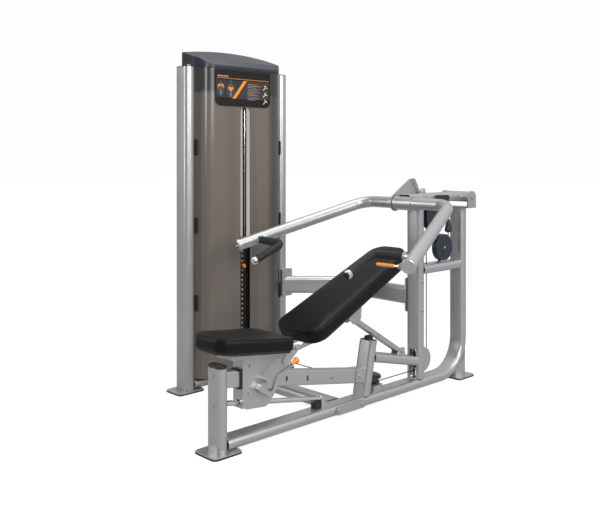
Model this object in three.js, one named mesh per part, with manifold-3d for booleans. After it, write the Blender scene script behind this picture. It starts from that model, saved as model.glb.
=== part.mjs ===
// Selectorised chest press machine, in millimetres, +Z up. The user sits facing -Y and the
// weight tower stands on the -X side. Every place below is measured from the machine's own
// centre plane (X = 0), the front post's footing (Y = 0) and the floor (Z = 0); the whole
// group is then shifted so that the origin is the middle of the footprint.
import * as THREE from 'three';
import { mergeVertices } from 'three/addons/utils/BufferGeometryUtils.js';
import Module from 'manifold-3d';

const wasm = await Module();
wasm.setup();

// ---------------------------------------------------------------- driving dimensions
const GAP = 0.3;                 // clearance between touching pieces
const WELD = 1.5;                // how far welded tubes run into each other's walls
const FRAME = { w: 95, h: 50, r: 20, wall: 3 };      // main frame tube
const FOOT = { rubber: 7.7, plate: 11.7 };             // height of the pad, top of the plate
const FLOOR_TUBE = 37;           // centre height of the tubes that lie on the feet
const FLOOR_TUBE_TOP = 62;
const POST_Y = 27;               // front post
const MAIN_Y = 1377;             // main upright
const REAR_Y = 1770;             // rear upright
const UPRIGHT_TOP = 970;
const BEND_R = 190;              // base rail's bend into the rear upright
const MID_Z = 648;               // tube between the main and rear uprights
const PROP_POST = { y: 937.5, lean: 0.2036, top: 330 };
const LOW_TUBE = { y: 1000, z: 242, slope: -0.232 };
const CROSS_Y = 778;             // low cross tube to the tower
const CROSS_BEAM = { z: 505, bendX: -528, plateX: -768 };

const TOWER = { x: -832, front: 448, rear: 1116, w: 110, h: 60, r: 25, top: 1745 };
const SHROUD = { outer: -730, rear: -905, low: 68, high: 1744, wall: 3 };
const CAP = { front: -727, rear: -905, shoulder: 49, height: 93, arch: 0.52 };
const SLOT = { y: 782, w: 70, low: 130, high: 1537 };
const STACK = { x: -822, y: 782, base: 104, pitch: 26.7, count: 25, lifted: 5, depth: 130, width: 300 };
const ROD_OFFSET = 70;
const GUIDE_ROD = 11;

const RAIL = { w: 54, h: 73, slope: -0.1727, y0: 52.3, z0: 312 };
const ROD = { r: 12, y0: 66, z0: 203.7, y1: 636 };
const SEAT = { tilt: -6.5, y: -45, z: 441, length: 400, half: 150, board: 12, thick: 68 };
const BACK = { tilt: 24.2, y: 485.7, z: 396.6, length: 805, half: 150, topHalf: 120, board: 12, thick: 75 };
const PROP = { topY: 872, topZ: 452, footY: 1229, footZ: 234, w: 40, h: 28 };

const PIVOT = { y: 1772, z: 1034, half: 87.4 };      // press arm's pivot on the rear upright
const BEAM = { y0: 1282, y1: 1766, z: 1036 };
const BAR = { y: 1290, z: 1013, r: 31, bendX: 288, bendR: 110 };
const ARM_END = new THREE.Vector3(568, 609, 797);
const HANDLE = { r: 13.5, grip: 19.5, bend: 45 };
const SECTOR = { r: 188, low: 8, high: 42, pitch: 5.8, firstHole: 14.1, holes: 5 };

const CABLE_R = 2.75;
const CABLE_Z = 105;             // height of the cable along the base rail
const ROOT_BACK = 4.5;           // how far a groove's root lies inside the cable's centreline
const TOP_PULLEY = { r: 50, z: 1695, frontY: 832, rearY: 941 };
const BASE_PULLEY = { r: 38, y: 991 };
const TURN_PULLEY = { r: 57, x: -57, y: 1048 };
const SLOT_PULLEY = { r: 50, y: 1422, z: 155 };
const BEAM_PULLEY = { r: 57, y: 1529, z: 925 };
const LOW_PULLEY = { r: 57, y: 1618, z: 752 };
const COVER_R = 75;

// ---------------------------------------------------------------- materials
const paint = (color, roughness, metalness) => new THREE.MeshStandardMaterial(
  { color, roughness, metalness });
const silver = paint(0xb4b6b8, 0.38, 0.6);
const chrome = paint(0xdfe1e4, 0.12, 1);
const navy = paint(0x2e3340, 0.45, 0);
const rubber = paint(0x151516, 0.8, 0);
const vinyl = paint(0x1b1b1c, 0.5, 0);
const board = paint(0x101011, 0.7, 0);
const orange = paint(0xf59428, 0.4, 0);
const smoked = paint(0x6e6761, 0.25, 0);
const iron = paint(0x2a2a2c, 0.6, 0.3);
const cableBlack = paint(0x121213, 0.5, 0);

// ---------------------------------------------------------------- geometry helpers
const V2 = (x, y) => new THREE.Vector2(x, y);
const V3 = (x, y, z) => new THREE.Vector3(x, y, z);
const radians = THREE.MathUtils.degToRad;

const shapeOf = (points, ...holes) => {
  const shape = new THREE.Shape(points);
  shape.holes = holes.map((hole) => new THREE.Path(hole));
  return shape;
};

const circle = (cx, cy, r, n = 16) => Array.from({ length: n }, (_, i) => {
  const a = (2 * Math.PI * i) / n;
  return V2(cx + r * Math.cos(a), cy + r * Math.sin(a));
});

const arcPoints = (cx, cy, r, fromDeg, toDeg, n) => Array.from({ length: n + 1 }, (_, i) => {
  const a = radians(fromDeg + ((toDeg - fromDeg) * i) / n);
  return V2(cx + r * Math.cos(a), cy + r * Math.sin(a));
});

// Outline through the corner points, each rounded by its own radius.
const rounded = (corners, n = 3) => corners.flatMap(([x, y, r = 0], i) => {
  if (!r) return [V2(x, y)];
  const here = V2(x, y);
  const [px, py] = corners[(i + corners.length - 1) % corners.length];
  const [qx, qy] = corners[(i + 1) % corners.length];
  const a = V2(px, py).sub(here).normalize();
  const b = V2(qx, qy).sub(here).normalize();
  const half = Math.acos(a.dot(b)) / 2;
  const start = here.clone().addScaledVector(a, r / Math.tan(half));
  const centre = here.clone().add(a.clone().add(b).normalize().multiplyScalar(r / Math.sin(half)));
  const from = Math.atan2(start.y - centre.y, start.x - centre.x);
  const end = here.clone().addScaledVector(b, r / Math.tan(half));
  let sweep = Math.atan2(end.y - centre.y, end.x - centre.x) - from;
  sweep = Math.atan2(Math.sin(sweep), Math.cos(sweep));
  return Array.from({ length: n + 1 }, (_, k) => V2(
    centre.x + r * Math.cos(from + (sweep * k) / n), centre.y + r * Math.sin(from + (sweep * k) / n)));
});

const roundedRect = (w, h, r, n = 3, cx = 0, cy = 0) => rounded([
  [cx - w / 2, cy - h / 2, r], [cx + w / 2, cy - h / 2, r],
  [cx + w / 2, cy + h / 2, r], [cx - w / 2, cy + h / 2, r]], n);

const tubeSection = (w, h, r, wall, n = 3) => shapeOf(
  roundedRect(w, h, r, n), roundedRect(w - 2 * wall, h - 2 * wall, Math.max(r - wall, 1), n));

const asShape = (outline) => (outline instanceof THREE.Shape ? outline : shapeOf(outline));
const extrude = (outline, depth, options = {}) => new THREE.ExtrudeGeometry(
  asShape(outline), { depth, bevelEnabled: false, ...options });

const roundedEdge = (r) => (
  { bevelEnabled: true, bevelThickness: r, bevelSize: r, bevelOffset: -r, bevelSegments: 2 });

const basis = (x, y, z, at) => new THREE.Matrix4().makeBasis(x, y, z).setPosition(at);
const AX = V3(1, 0, 0);
const AY = V3(0, 1, 0);
const AZ = V3(0, 0, 1);

// An outline drawn in (Y, Z), (X, Z) or (X, Y), given thickness along the third axis.
const slabX = (outline, x0, x1) => extrude(outline, x1 - x0).applyMatrix4(basis(AY, AZ, AX, V3(x0, 0, 0)));
const slabY = (outline, y0, y1, options) => extrude(outline, y1 - y0, options)
  .applyMatrix4(basis(AX, AZ, V3(0, -1, 0), V3(0, y1, 0)));
const slabZ = (outline, z0, z1, options) => extrude(outline, z1 - z0, options).translate(0, 0, z0);
const box = (x0, x1, y0, y1, z0, z1) => new THREE.BoxGeometry(x1 - x0, y1 - y0, z1 - z0)
  .translate((x0 + x1) / 2, (y0 + y1) / 2, (z0 + z1) / 2);

// Turned piece: profile of [radius, height] pairs about an axis through a place.
const turned = (profile, at, axis = AZ, sides = 20) => {
  const lathe = new THREE.LatheGeometry(profile.map(([r, z]) => V2(r, z)), sides);
  const turn = new THREE.Quaternion().setFromUnitVectors(AY, axis.clone().normalize());
  return lathe.applyQuaternion(turn).translate(at.x, at.y, at.z);
};
const rod = (r, from, to, sides = 16) => turned(
  [[0, 0], [r, 0], [r, from.distanceTo(to)], [0, from.distanceTo(to)]], from, to.clone().sub(from), sides);
const ring = (inner, outer, from, to, sides = 20) => {
  const length = from.distanceTo(to);
  return turned([[inner, 0], [outer, 0], [outer, length], [inner, length], [inner, 0]],
    from, to.clone().sub(from), sides);
};
const boltHead = (at, axis, r = 11, depth = 7) => turned(
  [[0, 0], [r, 0], [r, depth], [0, depth]], at, axis, 6);

// A route of straight runs and round bends; one step per straight run and a few per bend.
class Route extends THREE.Curve {
  constructor(stations) {
    super();
    this.stations = stations;
  }

  get steps() { return this.stations.length - 1; }

  getPointAt(u) { return this.stations[Math.round(u * this.steps)].point.clone(); }

  getTangentAt(u) { return this.stations[Math.round(u * this.steps)].tangent.clone(); }
}

const cornerRoute = (points, radii, bendSteps = 6) => {
  const stations = [];
  const heading = (i) => points[i + 1].clone().sub(points[i]).normalize();
  stations.push({ point: points[0], tangent: heading(0) });
  for (let i = 1; i < points.length - 1; i += 1) {
    const before = heading(i - 1);
    const after = heading(i);
    const turn = before.angleTo(after);
    const r = Array.isArray(radii) ? radii[i - 1] : radii;
    const inward = after.clone().sub(before).normalize();
    const centre = points[i].clone().addScaledVector(inward, r / Math.cos(turn / 2));
    const axis = before.clone().cross(after).normalize();
    const start = points[i].clone().addScaledVector(before, -r * Math.tan(turn / 2)).sub(centre);
    for (let k = 0; k <= bendSteps; k += 1) {
      const q = new THREE.Quaternion().setFromAxisAngle(axis, (turn * k) / bendSteps);
      stations.push({
        point: start.clone().applyQuaternion(q).add(centre), tangent: before.clone().applyQuaternion(q) });
    }
  }
  stations.push({ point: points[points.length - 1], tangent: heading(points.length - 2) });
  return new Route(stations);
};

// Arc in a plane X = 0, from one angle to another, seen with Y to the right and Z up.
const wrapRoute = (pulley, fromDeg, toDeg, n) => new Route(Array.from({ length: n + 1 }, (_, i) => {
  const a = radians(fromDeg + ((toDeg - fromDeg) * i) / n);
  const way = Math.sign(toDeg - fromDeg);
  return {
    point: V3(0, pulley.y + pulley.r * Math.cos(a), pulley.z + pulley.r * Math.sin(a)),
    tangent: V3(0, -Math.sin(a) * way, Math.cos(a) * way) };
}));

const sweep = (section, route) => new THREE.ExtrudeGeometry(
  section, { steps: route.steps, extrudePath: route, bevelEnabled: false });
const cord = (route) => sweep(shapeOf(circle(0, 0, CABLE_R, 6)), route);

// Moves every vertex by a function of its place.
const reshape = (geometry, move) => {
  const places = geometry.attributes.position;
  const v = new THREE.Vector3();
  for (let i = 0; i < places.count; i += 1) {
    v.fromBufferAttribute(places, i);
    move(v);
    places.setXYZ(i, v.x, v.y, v.z);
  }
  geometry.computeVertexNormals();
  return geometry;
};

const plain = (geometry) => {
  const g = geometry.index ? geometry.toNonIndexed() : geometry.clone();
  g.deleteAttribute('normal');
  g.deleteAttribute('uv');
  return g;
};

const toSolid = (geometry) => {
  const merged = mergeVertices(plain(geometry), 1e-4);
  return new wasm.Manifold(new wasm.Mesh({
    numProp: 3,
    vertProperties: new Float32Array(merged.attributes.position.array),
    triVerts: new Uint32Array(merged.index.array) }));
};
const fromSolid = (manifold) => {
  const mesh = manifold.getMesh();
  const geometry = new THREE.BufferGeometry();
  geometry.setAttribute('position', new THREE.BufferAttribute(new Float32Array(mesh.vertProperties), 3));
  geometry.setIndex(new THREE.BufferAttribute(new Uint32Array(mesh.triVerts), 1));
  geometry.computeVertexNormals();
  return geometry;
};
const join = (...pieces) => fromSolid(pieces.map(toSolid).reduce((a, b) => a.add(b)));
const cut = (body, ...tools) => fromSolid(tools.map(toSolid).reduce((a, b) => a.subtract(b), toSolid(body)));

// ---------------------------------------------------------------- scene graph
const machine = new THREE.Group();
const add = (name, material, geometry, parent = machine) => {
  if (!geometry.attributes.normal) geometry.computeVertexNormals();
  const mesh = new THREE.Mesh(geometry, material);
  mesh.name = name;
  parent.add(mesh);
  return mesh;
};

// ---------------------------------------------------------------- feet and main frame
const feet = {
  front_foot: { x: 0, y: 32, w: 147, h: 154 },
  rear_foot: { x: 0, y: 1755, w: 150, h: 150 },
  tower_front_foot: { x: TOWER.x, y: TOWER.front, w: 134, h: 165 },
  tower_rear_foot: { x: TOWER.x, y: TOWER.rear, w: 134, h: 165 } };

function makeFeet() {
  const slab = (f, grow, z0, z1) => slabZ(roundedRect(f.w + grow, f.h + grow, 22, 3, f.x, f.y), z0, z1);
  for (const [name, f] of Object.entries(feet)) {
    add(name, silver, join(slab(f, 4, 0, FOOT.rubber), slab(f, 0, FOOT.rubber - 1, FOOT.plate)));
  }
}

const frameSection = () => tubeSection(FRAME.w, FRAME.h, FRAME.r, FRAME.wall);
const post = (x, y, z0, z1) => slabZ(frameSection(), z0, z1).translate(x, y, 0);
const alongY = (section, y0, y1, z) => slabY(section, y0, y1).translate(0, 0, z);

function makeBaseRail() {
  const front = POST_Y + FRAME.h / 2 + GAP;
  const route = cornerRoute([
    V3(0, front, FLOOR_TUBE), V3(0, REAR_Y, FLOOR_TUBE), V3(0, REAR_Y, UPRIGHT_TOP)], BEND_R, 7);
  const rail = sweep(tubeSection(FRAME.h, FRAME.w, FRAME.r, FRAME.wall), route);
  // Round stand between the rear foot and the underside of the bend.
  const bend = slabX(circle(REAR_Y - BEND_R, FLOOR_TUBE + BEND_R, BEND_R + FRAME.h / 2 - WELD, 64), -60, 60);
  const stand = cut(rod(48, V3(0, 1758, FOOT.plate + GAP), V3(0, 1758, 200), 16), bend);
  // Plate opposite the low cross tube, and the turning pulley's hollow block with its axle.
  const side = FRAME.w / 2;
  const plate = slabX(roundedRect(203, 40, 8, 2, 804.5, FLOOR_TUBE), side - WELD, side + 7);
  const bolts = [722, 887].map((y) => boltHead(V3(side + 6, y, FLOOR_TUBE), AX, 9, 7));
  const y = TURN_PULLEY.y;
  const body = slabZ(roundedRect(96, 76, 12, 2, -28, y), FLOOR_TUBE_TOP - WELD, 90);
  const block = cut(body, box(-90, 12, y - 32, y + 32, 68, 84));
  const axle = rod(8, V3(TURN_PULLEY.x, y, 86), V3(TURN_PULLEY.x, y, CABLE_Z + 13), 8);
  add('base_rail', silver, join(rail, stand, plate, ...bolts, block, axle));
}

function makePosts() {
  const bolts = [335, 204].map((z) => boltHead(V3(0, POST_Y - FRAME.h / 2 + 1, z), V3(0, -1, 0), 9, 7));
  add('front_post', silver, join(post(0, POST_Y, FOOT.plate + GAP, 366), ...bolts));
  add('front_post_cap', navy, slabZ(roundedRect(FRAME.w, FRAME.h, FRAME.r, 4), 0, 3, {
    bevelEnabled: true, bevelThickness: 4, bevelSize: 4, bevelOffset: -4, bevelSegments: 2,
  }).translate(0, POST_Y, 366 + GAP + 4));
}

// Main upright: slotted at its foot for the pulley that turns the cable upwards, closed by a lid,
// and welded to the tube that runs back to the rear upright.
function makeMainUpright() {
  const slot = box(-21, 21, MAIN_Y - 40, MAIN_Y + 40, 66, 222);
  const tube = cut(post(0, MAIN_Y, FLOOR_TUBE + 25 + GAP, UPRIGHT_TOP), slot);
  const lid = slabZ(roundedRect(FRAME.w, FRAME.h, FRAME.r, 3), UPRIGHT_TOP - 1, 976.6)
    .translate(0, MAIN_Y, 0);
  const bolts = [585, 432].map((z) => boltHead(V3(FRAME.w / 2 - 1, MAIN_Y, z), AX, 9, 7));
  const rearFace = MAIN_Y + FRAME.h / 2;
  // The cable rises through a slot in the tube behind the upright.
  const riseY = SLOT_PULLEY.y + SLOT_PULLEY.r;
  const mid = cut(alongY(frameSection(), rearFace - WELD, REAR_Y - FRAME.h / 2 - GAP, MID_Z),
    box(-8, 8, riseY - 20, riseY + 9, MID_Z - 40, MID_Z + 40));
  const guard = (side) => slabX([
    V2(rearFace + 0.4, 88), ...arcPoints(SLOT_PULLEY.y, SLOT_PULLEY.z, 67, -78, 78, 8),
    V2(rearFace + 12, 236), V2(rearFace - WELD, 236)], side * 15 - 2, side * 15 + 2);
  const cheek = (side) => slabX(rounded([
    [LOW_PULLEY.y - 26, MID_Z + 25 - WELD, 0], [LOW_PULLEY.y + 26, MID_Z + 25 - WELD, 0],
    [LOW_PULLEY.y + 20, LOW_PULLEY.z + 22, 14], [LOW_PULLEY.y - 20, LOW_PULLEY.z + 22, 14]], 3),
  side * 12 - 1.8, side * 12 + 1.8);
  add('main_upright', silver, join(tube, lid, ...bolts, mid, guard(1), guard(-1), cheek(1), cheek(-1),
    axle(V3(0, SLOT_PULLEY.y, SLOT_PULLEY.z), AX, 16), axle(V3(0, LOW_PULLEY.y, LOW_PULLEY.z), AX, 13)));
}

// Leaning post under the seat rail, the sloping tube behind it, and the back prop's lugs and pin.
function makeRearLowTube() {
  const lean = (v) => {
    v.y += PROP_POST.lean * (v.z - FLOOR_TUBE_TOP);
  };
  const prop = reshape(post(0, PROP_POST.y, FLOOR_TUBE_TOP + GAP, PROP_POST.top), lean);
  const low = reshape(alongY(frameSection(), 0, 1, 0), (v) => {
    const rear = v.y > 0.5;
    const z = v.z + LOW_TUBE.z;
    const face = PROP_POST.y + FRAME.h / 2 + PROP_POST.lean * (z - FLOOR_TUBE_TOP) - WELD;
    v.y = rear ? MAIN_Y - FRAME.h / 2 - GAP : face;
    v.z = z + LOW_TUBE.slope * (v.y - LOW_TUBE.y);
  });
  const seatZ = (y) => LOW_TUBE.z + 25 + LOW_TUBE.slope * (y - LOW_TUBE.y) - WELD;
  const lug = (s) => slabX(rounded([
    [PROP.footY - 32, seatZ(PROP.footY - 32), 0], [PROP.footY + 32, seatZ(PROP.footY + 32), 0],
    [PROP.footY + 22, PROP.footZ + 20, 12], [PROP.footY - 22, PROP.footZ + 20, 12]], 2),
  Math.min(s * 20.6, s * 26), Math.max(s * 20.6, s * 26));
  const foot = (x) => V3(x, PROP.footY, PROP.footZ);
  const heads = [1, -1].map((s) => boltHead(foot(s * 25.5), V3(s, 0, 0), 10, 8));
  add('rear_low_tube', silver, join(prop, low, lug(1), lug(-1), rod(8, foot(-22), foot(22), 12), ...heads));
}

function makeCrossBeam() {
  const section = tubeSection(FRAME.w + 5, FRAME.h, FRAME.r, FRAME.wall);
  const start = V3(-FRAME.w / 2 - 6, MAIN_Y, CROSS_BEAM.z);
  const bend = V3(CROSS_BEAM.bendX, MAIN_Y, CROSS_BEAM.z);
  const endX = CROSS_BEAM.plateX + 40;
  const end = V3(endX, MAIN_Y - 252 * ((CROSS_BEAM.bendX - endX) / 249), CROSS_BEAM.z);
  const route = cornerRoute([start, bend, end], 150, 3);
  const heading = route.getTangentAt(1);
  const geometry = reshape(sweep(section, route), (v) => {
    const past = v.clone().sub(end).dot(heading);
    if (Math.abs(past) > 0.01) return;
    v.addScaledVector(heading, (CROSS_BEAM.plateX + 6 - v.x) / heading.x);
  });
  const mainPlate = slabX(shapeOf(roundedRect(48, 185, 10, 2, MAIN_Y, 507.5),
    circle(MAIN_Y, CROSS_BEAM.z, 12, 8)), -FRAME.w / 2 - 8.3, -FRAME.w / 2 - GAP);
  const towerPlate = slabX(roundedRect(78, 160, 10, 2, TOWER.rear + 12, 520),
    CROSS_BEAM.plateX - 8.4, CROSS_BEAM.plateX + 8);
  const bolts = [585, 455].map((z) => boltHead(V3(CROSS_BEAM.plateX + 7, TOWER.rear - 12, z), AX, 9, 7));
  add('cross_beam', silver, join(geometry, mainPlate, towerPlate, ...bolts));
}

function makeSeatRail() {
  const section = tubeSection(RAIL.w, RAIL.h, 9, 4, 2);
  const slope = (v) => {
    const z = v.z;
    const postFace = PROP_POST.y - FRAME.h / 2 + PROP_POST.lean * (z + 163 - FLOOR_TUBE_TOP) - 4;
    v.y = v.y > 0.5 ? postFace : RAIL.y0 + GAP;
    v.z = z + RAIL.z0 + RAIL.slope * (v.y - RAIL.y0);
  };
  const tube = reshape(alongY(section, 0, 1, 0), slope);
  const stops = [402, 534].map((y) => {
    const z = RAIL.z0 + RAIL.slope * (y - RAIL.y0) - 2;
    return slabX(roundedRect(10, 24, 4.5, 2, y, z), 10, 40);
  });
  const cheek = (side) => slabX(rounded([[862, 148, 8], [925, 128, 4], [938, 196, 4], [868, 206, 8]], 2),
    Math.min(side * 26, side * 34), Math.max(side * 26, side * 34));
  const bolts = [boltHead(V3(33, 893, 168), AX, 10, 7), boltHead(V3(RAIL.w / 2 - 1, 701, 197), AX, 9, 10)];
  add('seat_rail', silver, join(cut(tube, ...stops), cheek(1), cheek(-1), ...bolts));
}

function makeGuideRod() {
  const z = (y) => ROD.z0 + RAIL.slope * (y - ROD.y0);
  const start = RAIL.y0 + GAP + 4;
  const guide = rod(ROD.r, V3(0, start, z(start)), V3(0, ROD.y1 + 6, z(ROD.y1 + 6)), 14);
  const side = slabX(rounded([
    [637, FLOOR_TUBE_TOP + GAP, 0], [668, FLOOR_TUBE_TOP + GAP, 0], [660, 112, 10], [637, 120, 6]], 2), -16, 16);
  add('seat_guide_rod', chrome, join(guide, side));
}

// ---------------------------------------------------------------- weight tower
function makeTower() {
  const upright = (y) => slabZ(tubeSection(TOWER.w, TOWER.h, TOWER.r, FRAME.wall, 4),
    FOOT.plate + GAP, TOWER.top).translate(TOWER.x, y, 0);
  add('tower_front_upright', silver, upright(TOWER.front));
  add('tower_rear_upright', silver, upright(TOWER.rear));

  // Bottom rail with the low cross tube welded to its side and the base pulley's cheeks on top.
  const y0 = TOWER.front + TOWER.h / 2 + GAP;
  const y1 = TOWER.rear - TOWER.h / 2 - GAP;
  const bottom = alongY(frameSection(), y0, y1, FLOOR_TUBE).translate(TOWER.x, 0, 0);
  const towerSide = TOWER.x + FRAME.w / 2 - WELD;
  const cross = extrude(frameSection(), -FRAME.w / 2 - GAP - towerSide)
    .applyMatrix4(basis(AY, AZ, AX, V3(towerSide, CROSS_Y, FLOOR_TUBE)));
  const baseCheek = (side) => slabY(rounded([
    [-850, FLOOR_TUBE_TOP - WELD, 0], [-790, FLOOR_TUBE_TOP - WELD, 0],
    [-766, 143, 18], [-800, 168, 18], [-850, 120, 14]], 3),
  BASE_PULLEY.y + side * 14 - 2, BASE_PULLEY.y + side * 14 + 2);
  const baseAxle = axle(V3(STACK.x + BASE_PULLEY.r, BASE_PULLEY.y, CABLE_Z + BASE_PULLEY.r), AY, 13.5);
  add('tower_base_rail', silver, join(bottom, cross, baseCheek(1), baseCheek(-1), baseAxle));

  // Top plate with the two long cheeks that carry the top pulleys.
  const holes = [SLOT.y, BASE_PULLEY.y].map((y) => circle(STACK.x, y, 9, 8));
  const plate = shapeOf(roundedRect(48, y1 - y0, 4, 1, STACK.x, (y0 + y1) / 2), ...holes);
  const cheek = (side) => slabX(roundedRect(y1 - y0 - 40, 106, 6, 1, (y0 + y1) / 2, 1672),
    STACK.x + side * 18 - 2, STACK.x + side * 18 + 2);
  const topAxle = (y) => axle(V3(STACK.x, y, TOP_PULLEY.z), AX, 17);
  add('tower_top_plate', silver, join(slabZ(plate, 1612, 1620), cheek(1), cheek(-1),
    topAxle(TOP_PULLEY.frontY), topAxle(TOP_PULLEY.rearY)));
}

// Plan of the tower's skin between the uprights: flat in the middle, bowed back towards each edge.
const SKIN_Y0 = TOWER.front + TOWER.h / 2 + GAP + 0.2;
const SKIN_Y1 = TOWER.rear - TOWER.h / 2 - GAP - 0.2;
const skinPlan = (edge, face, inset = 0) => {
  const bow = [[0, 1], [28, 0.41], [58, 0.14], [100, 0]];
  const half = bow.map(([along, back]) => [along + inset, face + (edge - face) * back]);
  return [
    ...half.map(([along, x]) => [x, SKIN_Y0 + along]),
    ...half.reverse().map(([along, x]) => [x, SKIN_Y1 - along])];
};

// Half of the tower's skin. The rear half is shallower than the front one.
function shroudPanel(side) {
  const edge = TOWER.x + side * 36;
  const face = side > 0 ? SHROUD.outer : SHROUD.rear;
  const outer = skinPlan(edge, face);
  const inner = skinPlan(edge, face - side * SHROUD.wall, 2);
  inner[0][1] += 1;
  inner[inner.length - 1][1] -= 1;
  return slabZ([...outer, ...inner.reverse()].map(([x, y]) => V2(x, y)), SHROUD.low, SHROUD.high);
}

function makeShrouds() {
  const slotOutline = rounded([
    [SLOT.y - SLOT.w / 2, SLOT.low, 20], [SLOT.y + SLOT.w / 2, SLOT.low, 20],
    [SLOT.y + SLOT.w / 2, SLOT.high, 30], [SLOT.y - SLOT.w / 2, SLOT.high, 30]], 4);
  const slot = slabX(slotOutline, SHROUD.outer - 20, SHROUD.outer + 20);
  const cableHole = slabX(circle(BASE_PULLEY.y, CABLE_Z, 12, 12), SHROUD.outer - 20, SHROUD.outer + 20);
  add('front_shroud', smoked, cut(shroudPanel(1), slot, cableHole));
  add('rear_shroud', smoked, shroudPanel(-1));
  const sign = slabX(rounded([[571, 1540, 34], [964, 1540, 34], [964, 1738, 3], [571, 1738, 3]], 4),
    SHROUD.outer + GAP, SHROUD.outer + 3);
  add('placard', board, sign);
}

// Cap: it follows the skin's plan in front, rolls over to a shoulder, and rises to an arched rear edge.
function makeCap() {
  const z0 = TOWER.top + GAP;
  const y0 = SKIN_Y0 - 1.5;
  const y1 = SKIN_Y1 + 1.5;
  const arch = (v) => {
    const t = (v.y - (y0 + y1) / 2) / ((y1 - y0) / 2);
    const above = v.z - z0 - CAP.shoulder;
    if (above > 0) v.z += above * CAP.arch * (1 - t * t);
  };
  const shell = (inset) => {
    const bottom = z0 - (inset ? 1 : 0);
    const section = rounded([
      [CAP.rear + inset, bottom, 0], [CAP.front - inset, bottom, 0], [CAP.front - 2 - inset, z0 + 16, 10],
      [CAP.front - 42, z0 + CAP.shoulder - inset, 26], [CAP.rear + inset, z0 + CAP.height - inset, 8]], 4);
    const rolled = reshape(slabY(section, y0 + inset, y1 - inset, { steps: 10 }), arch);
    const front = skinPlan(TOWER.x + 36 - inset, CAP.front - inset, inset).map(([x, y]) => V2(x, y));
    const plan = slabZ([V2(CAP.rear - 5, y0 - 5), V2(TOWER.x + 36, y0 - 5), ...front,
      V2(TOWER.x + 36, y1 + 5), V2(CAP.rear - 5, y1 + 5)], z0 - 5, z0 + 200);
    return toSolid(rolled).intersect(toSolid(plan));
  };
  add('tower_cap', navy, fromSolid(shell(0).subtract(shell(4))));
}

// A run of stacked plates: one block, grooved at each joint, bored for the guide rods.
function plateBlock(first, count, ...holes) {
  const left = STACK.x - STACK.depth / 2;
  const right = STACK.x + STACK.depth / 2;
  const z = (i) => STACK.base + STACK.pitch * (first + i);
  const joints = Array.from({ length: count - 1 }, (_, i) => [
    V2(right, z(i + 1) - 1.2), V2(right - 2, z(i + 1) - 0.6), V2(right, z(i + 1))]).flat();
  const outline = [
    V2(left, z(0)), V2(right, z(0)), ...joints, V2(right, z(count) - GAP), V2(left, z(count) - GAP)];
  const block = slabY(outline, STACK.y - STACK.width / 2, STACK.y + STACK.width / 2);
  const bore = (off, r) => rod(r, V3(STACK.x, STACK.y + off, 90), V3(STACK.x, STACK.y + off, 900), 8);
  return cut(block, bore(-ROD_OFFSET, 13), bore(ROD_OFFSET, 13), ...holes);
}

function makeWeights() {
  const resting = STACK.count - STACK.lifted;
  const stemAt = (z) => V3(STACK.x, STACK.y, z);
  add('resting_plates', iron, plateBlock(0, resting, rod(12, stemAt(90), stemAt(900), 8)));
  const pinZ = STACK.base + STACK.pitch * resting + (STACK.pitch - GAP) / 2;
  const face = STACK.x + STACK.depth / 2;
  const pinBore = rod(6, V3(STACK.x + 8, STACK.y, pinZ), V3(face + 5, STACK.y, pinZ), 10);
  const headTop = STACK.base + STACK.pitch * STACK.count + 27;
  const knob = rod(17, stemAt(headTop - 1), stemAt(headTop + 25), 12);
  const stem = cut(rod(9, stemAt(112), stemAt(headTop), 10), pinBore);
  add('lifted_plates', iron, join(plateBlock(resting, STACK.lifted + 1, pinBore), stem, knob));
  const pin = rod(5, V3(STACK.x + 10, STACK.y, pinZ), V3(face + 2, STACK.y, pinZ), 10);
  const grip = turned([[0, 0], [9, 0], [12, 5], [12, 17], [9, 22], [0, 22]],
    V3(face + 1, STACK.y, pinZ), AX, 12);
  add('selector_pin', orange, join(pin, grip));
  const base = box(STACK.x - 32, STACK.x + 32, STACK.y - 100, STACK.y + 100, FLOOR_TUBE_TOP + GAP, 68);
  const rods = [-1, 1].map((side) => {
    const y = STACK.y + side * ROD_OFFSET;
    return rod(GUIDE_ROD, V3(STACK.x, y, 66), V3(STACK.x, y, 1612 - GAP), 10);
  });
  add('stack_guide_rods', chrome, join(base, ...rods));
}

// ---------------------------------------------------------------- pulleys and cable
function pulleyWheel({ r, rim = r + 8, half = 9 }, at, axis, sides = 16) {
  const root = r - ROOT_BACK;
  return turned([[9, -half], [rim, -half], [root, -4.2], [root, 4.2], [rim, half], [9, half], [9, -half]],
    at, axis, sides);
}

const axle = (at, axis, half) => rod(
  8, at.clone().addScaledVector(axis, -half), at.clone().addScaledVector(axis, half), 8);

function makePulleys() {
  const topAt = (y) => V3(STACK.x, y, TOP_PULLEY.z);
  add('top_front_pulley', navy, pulleyWheel(TOP_PULLEY, topAt(TOP_PULLEY.frontY), AX));
  add('top_rear_pulley', navy, pulleyWheel({ r: TOP_PULLEY.r, rim: 50 }, topAt(TOP_PULLEY.rearY), AX));
  const baseAt = V3(STACK.x + BASE_PULLEY.r, BASE_PULLEY.y, CABLE_Z + BASE_PULLEY.r);
  add('base_pulley', navy, pulleyWheel({ r: BASE_PULLEY.r, rim: 45 }, baseAt, AY));
  add('turning_pulley', navy, pulleyWheel(TURN_PULLEY, V3(TURN_PULLEY.x, TURN_PULLEY.y, CABLE_Z), AZ));
  add('slot_pulley', navy, pulleyWheel(SLOT_PULLEY, V3(0, SLOT_PULLEY.y, SLOT_PULLEY.z), AX));
  add('beam_pulley', navy, pulleyWheel(BEAM_PULLEY, V3(0, BEAM_PULLEY.y, BEAM_PULLEY.z), AX));
  add('lower_pulley', navy, pulleyWheel(LOW_PULLEY, V3(0, LOW_PULLEY.y, LOW_PULLEY.z), AX));
}

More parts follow.
